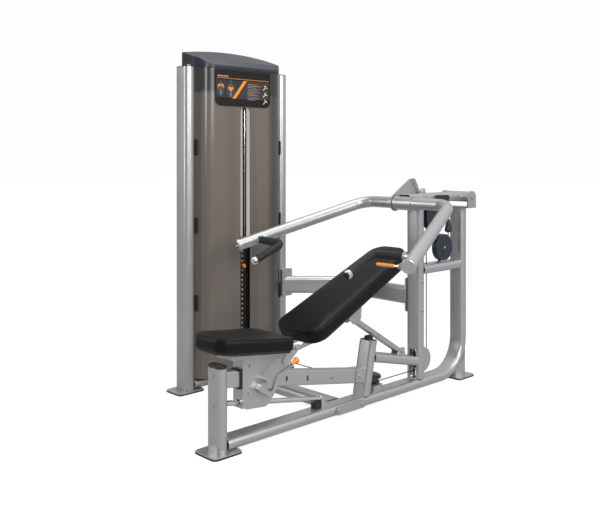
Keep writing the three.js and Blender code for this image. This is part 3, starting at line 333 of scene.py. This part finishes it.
def smoked_panel():
    """Smoked panel with painted light and shade: a painted dark reflection in a soft-edged zone at the top,
    painted shade towards the rear upright and at the front end, and a painted light near the foot."""
    g = Graph("smoked_panel", (0.150, 0.130, 0.116), 0.0, 0.2, Specular_IOR_Level=0.42)
    y, z = g.axis("Y"), g.axis("Z")
    panel_low, panel_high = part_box("front_shroud")
    tall = panel_high.z - panel_low.z
    # Painted dark reflection over the top of the panel.
    top = g.spread(z, at(0, 0, 1600).z, at(0, 0, 1634).z, 0, 0.86, True)
    # Painted shade towards the rear upright.
    right = g.spread(y, at(0, 930, 0).y, at(0, 1000, 0).y, 0, 0.6, True)
    # Painted shade at the panel's front end, by the front upright.
    edge = g.spread(y, at(0, 500, 0).y, at(0, 506, 0).y, 0.35, 0, True)
    # Random vertical streaks of darker tone.
    streak = g.spread(g.noise(1.0, 2, (0, 9, 0.15)), 0.5, 0.72, 0, 0.25)
    # The painted shade and reflection, with the streaks, together darken the panel's colour.
    dark = g.math("MINIMUM", g.math("ADD", g.math("ADD", top, edge), g.math("ADD", right, streak)), 0.88)
    shaded = g.paint(dark, (0.022, 0.021, 0.0205))
    # Painted light: the panel is brighter near its foot.
    foot = g.spread(z, panel_low.z + 0.14 * tall, panel_low.z, 0, 0.4, True)
    g.paint(foot, (0.25, 0.21, 0.165), shaded)
    g.rough(g.noise(3, 2), 0.3, 0.7, 0.15, 0.22)
    g.bump(g.noise(2.5, 1), 0.001, 0.05)
    return g.material


def printed_sign():
    """Printed plate, dark brown, with a slight mottle in the ink."""
    g = Graph("printed_plate", (0.009, 0.007, 0.0065), 0.0, 0.34, Specular_IOR_Level=0.25)
    g.paint(g.spread(g.noise(30), 0.35, 0.7, 0, 0.5), (0.015, 0.011, 0.010))
    g.bump(g.noise(900, 2), 0.00005, 0.2)
    return g.material


def dark_iron():
    g = Graph("black_enamelled_iron", (0.012, 0.012, 0.013), 0.2, 0.5)
    g.paint(g.spread(g.noise(40), 0.4, 0.7, 0, 0.6), (0.024, 0.024, 0.026))
    g.rough(g.noise(55), 0.3, 0.7, 0.4, 0.6)
    g.bump(g.noise(420, 4), 0.0003, 0.4)
    return g.material


def zinc_steel():
    g = Graph("dark_zinc", (0.16, 0.16, 0.17), 0.9, 0.34)
    g.paint(g.spread(g.noise(45), 0.4, 0.7, 0, 0.6), (0.25, 0.25, 0.26))
    g.rough(g.noise(120), 0.3, 0.7, 0.28, 0.45)
    g.bump(g.noise(600, 2), 0.0001, 0.3)
    return g.material


def cable_jacket():
    g = Graph("nylon_jacket", (0.012, 0.012, 0.013), 0.0, 0.36)
    g.paint(g.spread(g.noise(200), 0.4, 0.7, 0, 0.5), (0.02, 0.02, 0.021))
    g.bump(g.noise(600, 2), 0.0001, 0.3)
    return g.material


def plain_print(name, color):
    g = Graph(name, color, 0.0, 0.45)
    g.paint(g.spread(g.noise(150), 0.4, 0.7, 0, 0.25), tuple(0.85 * c for c in color))
    g.bump(g.noise(900, 2), 0.00004, 0.2)
    return g.material


def painted_glow_sheet():
    """Pale sheet whose emission is a painted glow, standing in for light from behind it."""
    # Painted glow: the emission makes the sheet shine though it is no lamp.
    g = Graph("painted_glow_sheet", (0.6, 0.59, 0.57), 0.0, 0.6, Emission_Color=(0.78, 0.76, 0.73, 1),
              Emission_Strength=0.55)
    g.paint(g.spread(g.noise(5), 0.4, 0.7, 0, 0.3), (0.5, 0.49, 0.47))
    return g.material


def floor_paint():
    """Pale matt floor that shows soft contact shadows and runs out into the white surround."""
    g = Graph("pale_floor", (0.9, 0.9, 0.905), 0.0, 0.7)
    g.rough(g.noise(2, 3), 0.3, 0.7, 0.65, 0.75)
    glow = g.nodes.new("ShaderNodeEmission")
    glow.inputs["Color"].default_value = (1, 1, 1, 1)
    path = g.nodes.new("ShaderNodeLightPath")
    seen = g.spread(path.outputs["Is Camera Ray"], 0, 1, 0.3, 1.2)
    g.links.new(seen, glow.inputs["Strength"])
    mix = g.nodes.new("ShaderNodeMixShader")
    mix.inputs[0].default_value = 0.72
    g.links.new(g.shader.outputs[0], mix.inputs[1])
    g.links.new(glow.outputs[0], mix.inputs[2])
    g.links.new(mix.outputs[0], g.nodes["Material Output"].inputs["Surface"])
    return g.material


FLOOR_PAINT = floor_paint()
LOOKS = {
    "silver": silver_paint(), "chrome": chrome_plate(), "navy": navy_plastic(), "rubber": black_rubber(),
    "foam": grip_foam(), "vinyl": black_vinyl(), "board": painted_board(), "sign": printed_sign(),
    "orange": gloss_orange(), "smoked": smoked_panel(), "iron": dark_iron(), "dark_steel": zinc_steel(),
    "cable": cable_jacket()}
INNER_SHEET_GLOW = painted_glow_sheet()
PRINT_GREY = plain_print("print_grey", (0.32, 0.30, 0.28))
PRINT_WHITE = plain_print("print_white", (0.75, 0.75, 0.74))
PRINT_BLUE = plain_print("print_blue", (0.12, 0.24, 0.36))
PRINT_DIM = plain_print("print_dim", (0.026, 0.022, 0.021))
PRINT_SLATE = plain_print("print_slate", (0.055, 0.065, 0.075))


# ---------------------------------------------------------------- CAD nodes
def dress_nodes():
    """Rounds the CAD nodes' edges, smooths what is round, and gives each node its slot's material."""
    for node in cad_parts.values():
        mesh = node.data
        if "custom_normal" in mesh.attributes:
            mesh.attributes.remove(mesh.attributes["custom_normal"])
        for polygon in mesh.polygons:
            polygon.use_smooth = True
        for i, slot in enumerate(node.material_slots):
            label = slot.material.name.split(".")[0]
            if label in LOOKS:
                mesh.materials[i] = LOOKS[label]
        weld = node.modifiers.new("weld", "WELD")
        weld.merge_threshold = 2e-5
        flat = node.modifiers.new("flat", "DECIMATE")
        flat.decimate_type = "DISSOLVE"
        flat.angle_limit = math.radians(0.6)
        round_edges(node, EDGE_WIDTH)


def round_edges(obj, width, segments=2):
    bevel = obj.modifiers.new("edges", "BEVEL")
    bevel.width = width
    bevel.segments = segments
    bevel.limit_method = "ANGLE"
    bevel.angle_limit = EDGE_ANGLE
    split = obj.modifiers.new("creases", "EDGE_SPLIT")
    split.split_angle = EDGE_ANGLE
    obj.modifiers.new("normals", "WEIGHTED_NORMAL")


# ---------------------------------------------------------------- mesh helpers
def piece(name, verts, faces, look, body, slot, smooth=True):
    mesh = bpy.data.meshes.new(name)
    mesh.from_pydata([tuple(v) for v in verts], [], faces)
    bm = bmesh.new()
    bm.from_mesh(mesh)
    bmesh.ops.recalc_face_normals(bm, faces=bm.faces)
    bm.to_mesh(mesh)
    bm.free()
    for polygon in mesh.polygons:
        polygon.use_smooth = smooth
    obj = bpy.data.objects.new(name, mesh)
    bpy.context.scene.collection.objects.link(obj)
    mesh.materials.append(look)
    if body:
        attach(obj, body)
    return obj


def joined(parts):
    """Several (verts, faces) as one."""
    verts, faces = [], []
    for v, f in parts:
        base = len(verts)
        verts += v
        faces += [tuple(base + i for i in face) for face in f]
    return verts, faces


def lathe(profile, place, axis, sides=32):
    """Turned solid: profile of (radius, height) in mm about an axis through a place in the row frame."""
    turn = AZ.rotation_difference(Vector(axis))
    verts, faces = [], []
    for r, h in profile:
        for k in range(sides):
            a = 2 * math.pi * k / sides
            verts.append(place + turn @ (Vector((r * math.cos(a), r * math.sin(a), h)) * MM))
    rows = len(profile)
    for i in range(rows):
        j = (i + 1) % rows
        if j == 0 and profile[0][0] < 0.01:
            continue
        for k in range(sides):
            m = (k + 1) % sides
            faces.append((i * sides + k, i * sides + m, j * sides + m, j * sides + k))
    return verts, faces


def disc_profile(radius, depth, edge=1.0, dish=0.0):
    """A closed, round-edged button: from the axis, out over the rim, and back to the axis."""
    return [(0.001, 0), (radius, 0), (radius, depth - edge), (radius - 0.3 * edge, depth - 0.3 * edge),
            (radius - edge, depth), (radius * 0.6, depth - dish), (0.001, depth - dish)]


def rounded_outline(corners, n=8):
    """Outline through 2-D corners (x, y, radius), each rounded."""
    out = []
    count = len(corners)
    for i, (x, y, r) in enumerate(corners):
        here = Vector((x, y))
        before = Vector(corners[i - 1][:2])
        after = Vector(corners[(i + 1) % count][:2])
        a, b = (before - here).normalized(), (after - here).normalized()
        if r <= 0:
            out.append(here)
            continue
        half = math.acos(max(-1, min(1, a.dot(b)))) / 2
        centre = here + (a + b).normalized() * (r / math.sin(half))
        start = here + a * (r / math.tan(half)) - centre
        end = here + b * (r / math.tan(half)) - centre
        a0 = math.atan2(start.y, start.x)
        sweep = math.atan2(end.y, end.x) - a0
        sweep = math.atan2(math.sin(sweep), math.cos(sweep))
        out += [centre + Vector((math.cos(a0 + sweep * k / n), math.sin(a0 + sweep * k / n))) * r
                for k in range(n + 1)]
    return out


def prism(outline, d0, d1, place):
    """Solid between two copies of a 2-D outline; place(u, v, d) puts a point in the row frame."""
    n = len(outline)
    verts = [place(p.x, p.y, d) for d in (d0, d1) for p in outline]
    faces = [tuple(range(n)), tuple(range(2 * n - 1, n - 1, -1))]
    faces += [(i, (i + 1) % n, n + (i + 1) % n, n + i) for i in range(n)]
    return verts, faces


def on_x(u, v, d):
    return at(d, u, v)


def on_z(u, v, d):
    return at(u, v, d)


def rect(x0, x1, y0, y1, r=0):
    return rounded_outline([(x0, y0, r), (x1, y0, r), (x1, y1, r), (x0, y1, r)], 5)


def tube(points, radius, sides=12):
    """Round tube along points in the row frame, closed at both ends."""
    verts, faces = [], []
    side = None
    last = len(points) - 1
    for i, p in enumerate(points):
        way = (points[min(i + 1, last)] - points[max(i - 1, 0)]).normalized()
        if side is None:
            side = way.cross(AX if abs(way.x) < 0.9 else AY).normalized()
        side = (side - way * side.dot(way)).normalized()
        other = way.cross(side)
        for k in range(sides):
            a = 2 * math.pi * k / sides
            verts.append(p + (side * math.cos(a) + other * math.sin(a)) * radius)
    for i in range(last):
        for k in range(sides):
            m = (k + 1) % sides
            faces.append((i * sides + k, i * sides + m, (i + 1) * sides + m, (i + 1) * sides + k))
    faces += [tuple(range(sides - 1, -1, -1)), tuple(last * sides + k for k in range(sides))]
    return verts, faces


def straight(a, b, steps):
    return [a.lerp(b, i / steps) for i in range(steps + 1)]


# ---------------------------------------------------------------- cushions
def dense(outline, step):
    """The outline with points at most a step apart."""
    out = []
    for i, p in enumerate(outline):
        q = outline[(i + 1) % len(outline)]
        parts = max(1, math.ceil((q - p).length / step))
        out += [p.lerp(q, k / parts) for k in range(parts)]
    return out


def inset_outline(outline, shrink):
    """A convex outline moved inwards along its own normals."""
    centre = sum(outline, Vector((0, 0))) / len(outline)
    out = []
    for i, p in enumerate(outline):
        along = (outline[(i + 1) % len(outline)] - outline[i - 1]).normalized()
        inward = Vector((-along.y, along.x))
        if inward.dot(centre - p) < 0:
            inward = -inward
        out.append(p + inward * shrink)
    return out


def pad_shell(corners, low, high, edge, seam_angle):
    """Closed shell of rings, in the pad's own metres, with the ring numbers of its two seams."""
    outline = dense(rounded_outline(corners, 12), PAD_STEP)
    wall_top, inset = high - edge, 4
    rings, seams = [], []

    def ring(shrink, z, scale=1.0):
        flat = inset_outline(outline, shrink)
        middle = sum(flat, Vector((0, 0))) / len(flat)
        rings.append([Vector((*(middle + (p - middle) * scale), z)) * MM for p in flat])

    spans = (0.02, 0.12, 0.25, 0.38, 0.5, 0.62, 0.73, 0.83, 0.91, 0.965)
    for scale in spans:
        ring(inset + 3, low, scale)
    ring(inset + 3, low)
    ring(inset + 0.9, low + 0.9)
    ring(inset, low + 3)
    seams.append(len(rings))
    ring(inset + SEAM_DEPTH, low + 6)
    rows = max(2, round((wall_top - low - 6) / PAD_STEP))
    for k in range(1, rows + 1):
        ring(inset, low + 6 + (wall_top - low - 6) * k / rows)
    for degrees in range(15, 91, 15):
        if abs(degrees - seam_angle) < 9:
            seams.append(len(rings))
            degrees, sink = seam_angle, SEAM_DEPTH
        else:
            sink = 0
        a = math.radians(degrees)
        out = edge - sink
        ring(inset + edge - out * math.cos(a), wall_top + out * math.sin(a))
    for scale in spans[::-1]:
        ring(inset + edge, high, scale)
    return rings, seams


def inflate(obj, held, pressure, cap):
    """Cloth under pressure: the held points stay, and no other point moves further than the cap."""
    before = [v.co.copy() for v in obj.data.vertices]
    group = obj.vertex_groups.new(name="held")
    group.add(sorted(held), 1.0, "REPLACE")
    cloth = obj.modifiers.new("cloth", "CLOTH")
    cloth.settings.quality = 5
    cloth.settings.mass = 0.3
    cloth.settings.tension_stiffness = 12
    cloth.settings.compression_stiffness = 12
    cloth.settings.bending_stiffness = 6
    cloth.settings.use_pressure = True
    cloth.settings.uniform_pressure_force = pressure
    cloth.settings.effector_weights.gravity = 0
    cloth.settings.vertex_group_mass = "held"
    scene = bpy.context.scene
    cloth.point_cache.frame_start, cloth.point_cache.frame_end = 1, PAD_FRAMES
    for number in range(1, PAD_FRAMES + 1):
        scene.frame_set(number)
    apply_modifiers(obj)
    scene.frame_set(1)
    for v, old in zip(obj.data.vertices, before):
        move = v.co - old
        if move.length > cap:
            v.co = old + move * (cap / move.length)
    relax(obj, held, 12)


def relax(obj, held, rounds):
    """Evens out the ripples that the simulation leaves, away from the held points."""
    bm = bmesh.new()
    bm.from_mesh(obj.data)
    free = [v for v in bm.verts if v.index not in held]
    for _ in range(rounds):
        bmesh.ops.smooth_vert(bm, verts=free, factor=0.5, use_axis_x=True, use_axis_y=True, use_axis_z=True)
    bm.to_mesh(obj.data)
    bm.free()


def apply_modifiers(obj):
    graph = bpy.context.evaluated_depsgraph_get()
    mesh = bpy.data.meshes.new_from_object(obj.evaluated_get(graph))
    obj.modifiers.clear()
    old = obj.data
    obj.data = mesh
    bpy.data.meshes.remove(old)


def make_pad(name, node, body, place, corners, low, high, edge, seam_angle):
    rings, seams = pad_shell(corners, low, high, edge, seam_angle)
    n = len(rings[0])
    faces = [(j * n + i, j * n + (i + 1) % n, (j + 1) * n + (i + 1) % n, (j + 1) * n + i)
             for j in range(len(rings) - 1) for i in range(n)]
    faces += [tuple(range(n - 1, -1, -1)), tuple((len(rings) - 1) * n + i for i in range(n))]
    pad = piece(name, [v for ring in rings for v in ring], faces, LOOKS["vinyl"], None, "vinyl")
    held = set(range(seams[0] * n)) | {seam * n + i for seam in seams for i in range(n)}
    inflate(pad, held, PAD_PRESSURE, PAD_SWELL)
    for polygon in pad.data.polygons:
        polygon.use_smooth = True
    pad.matrix_world = place
    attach(pad, body)
    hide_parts(node)
    for number, seam in enumerate(seams):
        line = [place @ pad.data.vertices[seam * n + i].co for i in range(n)]
        verts, faces = tube(line + line[:1], PIPING_R * MM, 8)
        piece(f"{name}_piping_{number + 1}", verts, faces, LOOKS["vinyl"], body, "vinyl")


def make_cushions():
    tilt = Matrix.Rotation(math.radians(-6.5), 4, "X")
    seat_place = Matrix.Translation(at(0, -45, 441)) @ tilt
    make_pad("seat_pad", "seat_cushion", "carriage", seat_place,
             [(-128, 0, 80), (128, 0, 80), (150, 400, 34), (-150, 400, 34)], 12.3, 68, 13, 57)
    lean = Matrix.Rotation(math.radians(24.2), 4, "X")
    back_place = Matrix.Translation(at(0, 485.7, 396.6)) @ lean
    make_pad("back_rest_pad", "back_cushion", "back_pad", back_place,
             [(-150, 0, 70), (150, 0, 70), (120, 805, 85), (-120, 805, 85)], 12.3, 75, 18, 47)


# ---------------------------------------------------------------- cables that follow the joints
def wrap(centre, from_deg, to_deg, steps=28):
    """Cable's centreline round one of the two arm pulleys, between two angles."""
    y, z = centre
    out = []
    for i in range(steps + 1):
        a = math.radians(from_deg + (to_deg - from_deg) * i / steps)
        out.append(at(0, y + PULLEY_R * math.cos(a), z + PULLEY_R * math.sin(a)))
    return out


def make_cables():
    radius = CABLE_R * MM
    cable = LOOKS["cable"]

    def run(name, points, body=None, blend=None):
        obj = piece(name, *tube(points, radius), cable, body, "cable")
        if blend:
            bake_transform(obj)
        return obj

    head = run("cable_over_stack", straight(at(STACK_X, STACK_Y, 1689.7), at(STACK_X, STACK_Y, 823.8), 60),
               None, ("frame", "weight_stack"))
    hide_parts("cable_head_run")
    lift = run("cable_lift_run", straight(at(0, 1472, 160), at(0, 1472, 925), 60), None, ("frame", "beam"))
    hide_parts("cable_arm_run")
    run("cable_beam_wrap", wrap(BEAM_PULLEY, 180, -8.7), "beam")
    run("cable_middle_run", straight(at(0, 1561.7, 760.6), at(0, 1585.3, 916.4), 20), None, ("frame", "beam"))
    leave = at(0, 1675, 776)  # above the tangent point, so that the run clears the pulley as the beam rises
    run("cable_lower_wrap", wrap(LOWER_PULLEY, 171.3, 360) + [leave], "frame")
    run("cable_anchor_run", straight(leave, at(0, 1675, 832), 12), None, ("frame", "beam"))


# ---------------------------------------------------------------- small fittings
def make_bumpers():
    slope = Vector((0, 1, -0.1727)).normalized()
    black = LOOKS["rubber"]
    ring = [(12.3, 0), (20, 0), (23, 3), (23, 9), (20, 12), (12.3, 12)]
    piece("rod_bumper", *lathe(ring, at(0, 52.8, 206), slope, 36), black, "frame", "rubber")
    for name, outline, low, high, edge in (("rod_end_block", rect(-20, 20, 598, 634, 5), 62.3, 90, 0.002),
                                           ("prop_bumper", rect(-19, 19, 976, 1010, 7), 330.4, 350, 0.003)):
        round_edges(piece(name, *prism(outline, low, high, on_z), black, "frame", "rubber"), edge)
    buffer = [(0.001, 0), (24, 0), (25, 4), (23, 27), (19, 32.2), (0.001, 32.4)]
    piece("beam_bumper", *lathe(buffer, at(0, 1375, 977), AZ, 36), black, "frame", "rubber")
    spring = [(12, 0), (24, 0), (26, 3), (26, 14), (24.5, 17), (26, 20), (26, 32), (24, 35.2), (12, 35.2)]
    parts = [lathe(spring, at(STACK_X, STACK_Y + side * 70, 68.3), AZ, 32) for side in (-1, 1)]
    piece("stack_cushions", *joined(parts), black, "frame", "rubber")


def make_clips():
    clips = []
    for y in (484, 1080):
        for z in (477, 893, 1314):
            clips.append(prism(rect(y - 5, y + 5, z - 42, z + 42, 4), -790, -768, on_x))
    obj = piece("shroud_clips", *joined(clips), LOOKS["rubber"], "frame", "rubber")
    round_edges(obj, 0.0015)


def make_hubs():
    for body, label, (y, z) in (("frame", "lower", LOWER_PULLEY), ("beam", "beam", BEAM_PULLEY)):
        parts = []
        for side in (-1, 1):
            parts.append(lathe([(0.001, 0), (7, 0), (7, 1.0), (6.2, 1.6), (0.001, 1.6)],
                               at(side * 18.2, y, z), AX * side, 32))
            parts.append(lathe(disc_profile(4.5, 3.5, 1, 0.6), at(side * 19.6, y, z), AX * side, 6))
        piece(f"{label}_cover_bolts", *joined(parts), LOOKS["silver"], body, "silver")


def make_plugs():
    parts = []
    for y in UPRIGHT_YS:
        outline = rect(UPRIGHT_X - 54, UPRIGHT_X + 54, y - 29, y + 29, 24)
        parts.append(prism(outline, 1745.3, 1749, on_z))
    obj = piece("upright_plugs", *joined(parts), LOOKS["navy"], "frame", "navy")
    round_edges(obj, 0.002, 3)


def make_pin_bushings():
    """A pale bushing round each plate's pin hole, and the orange band on the head plate."""
    ring = [(2.6, 0), (4.6, 0), (4.6, 0.7), (4.1, 1.1), (2.9, 1.1)]

    def bushing(i):
        return lathe(ring, at(STACK_FACE, STACK_Y, STACK_BASE + PITCH * (i + 0.5)), AX, 20)

    resting = PLATES - LIFTED
    piece("resting_bushings", *joined([bushing(i) for i in range(resting)]), PRINT_WHITE, "frame", None)
    piece("lifted_bushings", *joined([bushing(i) for i in range(resting + 1, PLATES)]), PRINT_WHITE,
          "weight_stack", None)
    strip = prism(rect(STACK_Y - 34, STACK_Y + 34, 776, 790, 3), STACK_FACE, STACK_FACE + 1.6, on_x)
    obj = piece("head_plate_band", *strip, LOOKS["orange"], "weight_stack", "orange")
    round_edges(obj, 0.0005)


def make_slot_liner():
    """Pale sheet with a painted glow on the rear skin's inner face, seen through the slot, and the slot's
    lip.
    """
    sheet = prism(rect(884, 1014, 140, 1600, 4), -897.5, -896, on_x)
    # The sheet's glow is painted light.
    obj = piece("rear_glowing_sheet", *sheet, INNER_SHEET_GLOW, "frame", None)
    round_edges(obj, 0.0004)
    slot = [(747, 130, 20), (817, 130, 20), (817, 1537, 30), (747, 1537, 30)]
    outline = dense(rounded_outline(slot, 8), 20)
    lip = [at(SHROUD_FACE + 0.4, p.x, p.y) for p in outline]
    piece("slot_lip", *tube(lip + lip[:1], 0.0009, 8), LOOKS["smoked"], "frame", "smoked")


def make_cap_screws():
    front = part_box("tower_cap")[0].y
    parts = []
    for x in (-848, -830):
        place = at(x, 0, 1760)
        place.y = front
        parts.append(lathe(disc_profile(5, 2.2, 0.9, 0.4), place, -AY, 24))
    piece("cap_screws", *joined(parts), LOOKS["chrome"], "frame", "chrome")


# ---------------------------------------------------------------- placard
def mark(parts, name, look, proud):
    """Flat print, a little proud of the placard's face."""
    face = SHROUD_FACE + 3
    shapes = [prism([Vector(p) for p in outline], face - 0.3, face + proud, on_x) for outline in parts]
    piece(name, *joined(shapes), look, "frame", None, smooth=False)


def oval(cy, cz, ry, rz, n=16):
    turns = [2 * math.pi * k / n for k in range(n)]
    return [(cy + ry * math.cos(a), cz + rz * math.sin(a)) for a in turns]


def band(points, width):
    """Outline of a line of even width through points."""
    left, right = [], []
    for i, p in enumerate(points):
        a = Vector(points[max(i - 1, 0)])
        b = Vector(points[min(i + 1, len(points) - 1)])
        way = (b - a).normalized()
        side = Vector((-way.y, way.x)) * width / 2
        left.append(tuple(Vector(p) + side))
        right.append(tuple(Vector(p) - side))
    return left + right[::-1]


def torso(cy, cz, s):
    """Generic torso seen from the front: head, trunk and two arms, in plain shapes."""
    trunk = [(-19, 30), (-8, 37), (8, 37), (19, 30), (17, 0),
             (12, -24), (15, -52), (-15, -52), (-12, -24), (-17, 0)]
    arm = [(21, 30), (28, 20), (30, -6), (27, -38), (21, -38), (23, -6), (20, 12)]
    shapes = [oval(cy, cz + 50 * s, 8 * s, 10 * s), [(cy + x * s, cz + z * s) for x, z in trunk]]
    for side in (-1, 1):
        shapes.append([(cy + side * x * s, cz + z * s) for x, z in arm][::side])
    return shapes


def make_placard_art():
    dim, accent, figures, white, blue, muscle = [], [], [], [], [], []
    field = [[(719, 1583), (953, 1583), (953, 1684), (799, 1684)]]
    backing = [[(576, 1586), (688, 1586), (764, 1682), (576, 1682)]]
    thin = [band([(582, 1692), (955, 1692)], 2.4)]
    accent.append([(688, 1583), (712, 1583), (792, 1684), (768, 1684)])
    for cy, s in ((608, 0.74), (677, 0.86)):
        figures += torso(cy, 1632, s)
    muscle += [oval(cy, 1652, 8.5, 7) for cy in (598, 618)] + [oval(cy, 1647, 4, 8) for cy in (590, 626)]
    muscle += [oval(cy, 1638, 9, 8) for cy in (668, 686)] + [oval(677, 1627, 7, 5)]
    blue += [oval(608, 1612, 4, 12), oval(677, 1606, 5, 11)]
    lengths = (74, 96, 60, 88, 70, 92, 52, 84, 66, 90, 58)
    inks = (dim, accent, dim, blue, dim, dim, accent, dim, blue, dim, dim)
    for row, (length, ink) in enumerate(zip(lengths, inks)):
        z = 1668 - row * 8.6
        ink.append([(796, z), (796 + length, z), (796 + length, z - 2.2), (796, z - 2.2)])
    for z in (1652, 1612, 1572):
        white.append(oval(925, z + 11, 4, 4.4))
        white.append(band([(911, z - 12), (921, z - 2), (930, z + 5), (941, z - 1)], 4))
    dim.append([(584, 1700), (660, 1700), (660, 1706), (584, 1706)])
    mark(backing, "placard_backing", LOOKS["cable"], 0.1)
    mark(field, "placard_field", PRINT_DIM, 0.1)
    mark(thin, "placard_rule", LOOKS["orange"], 0.2)
    mark(dim, "placard_lines", PRINT_GREY, 0.3)
    mark(figures, "placard_figures", PRINT_SLATE, 0.3)
    mark(blue, "placard_blue", PRINT_BLUE, 0.45)
    mark(muscle, "placard_muscles", LOOKS["orange"], 0.5)
    mark(accent, "placard_orange", LOOKS["orange"], 0.4)
    mark(white, "placard_icons", PRINT_WHITE, 0.4)


make_camera()
make_studio()
dress_nodes()
make_cushions()
make_cables()
make_bumpers()
make_clips()
make_hubs()
make_plugs()
make_pin_bushings()
make_slot_liner()
make_cap_screws()
make_placard_art()
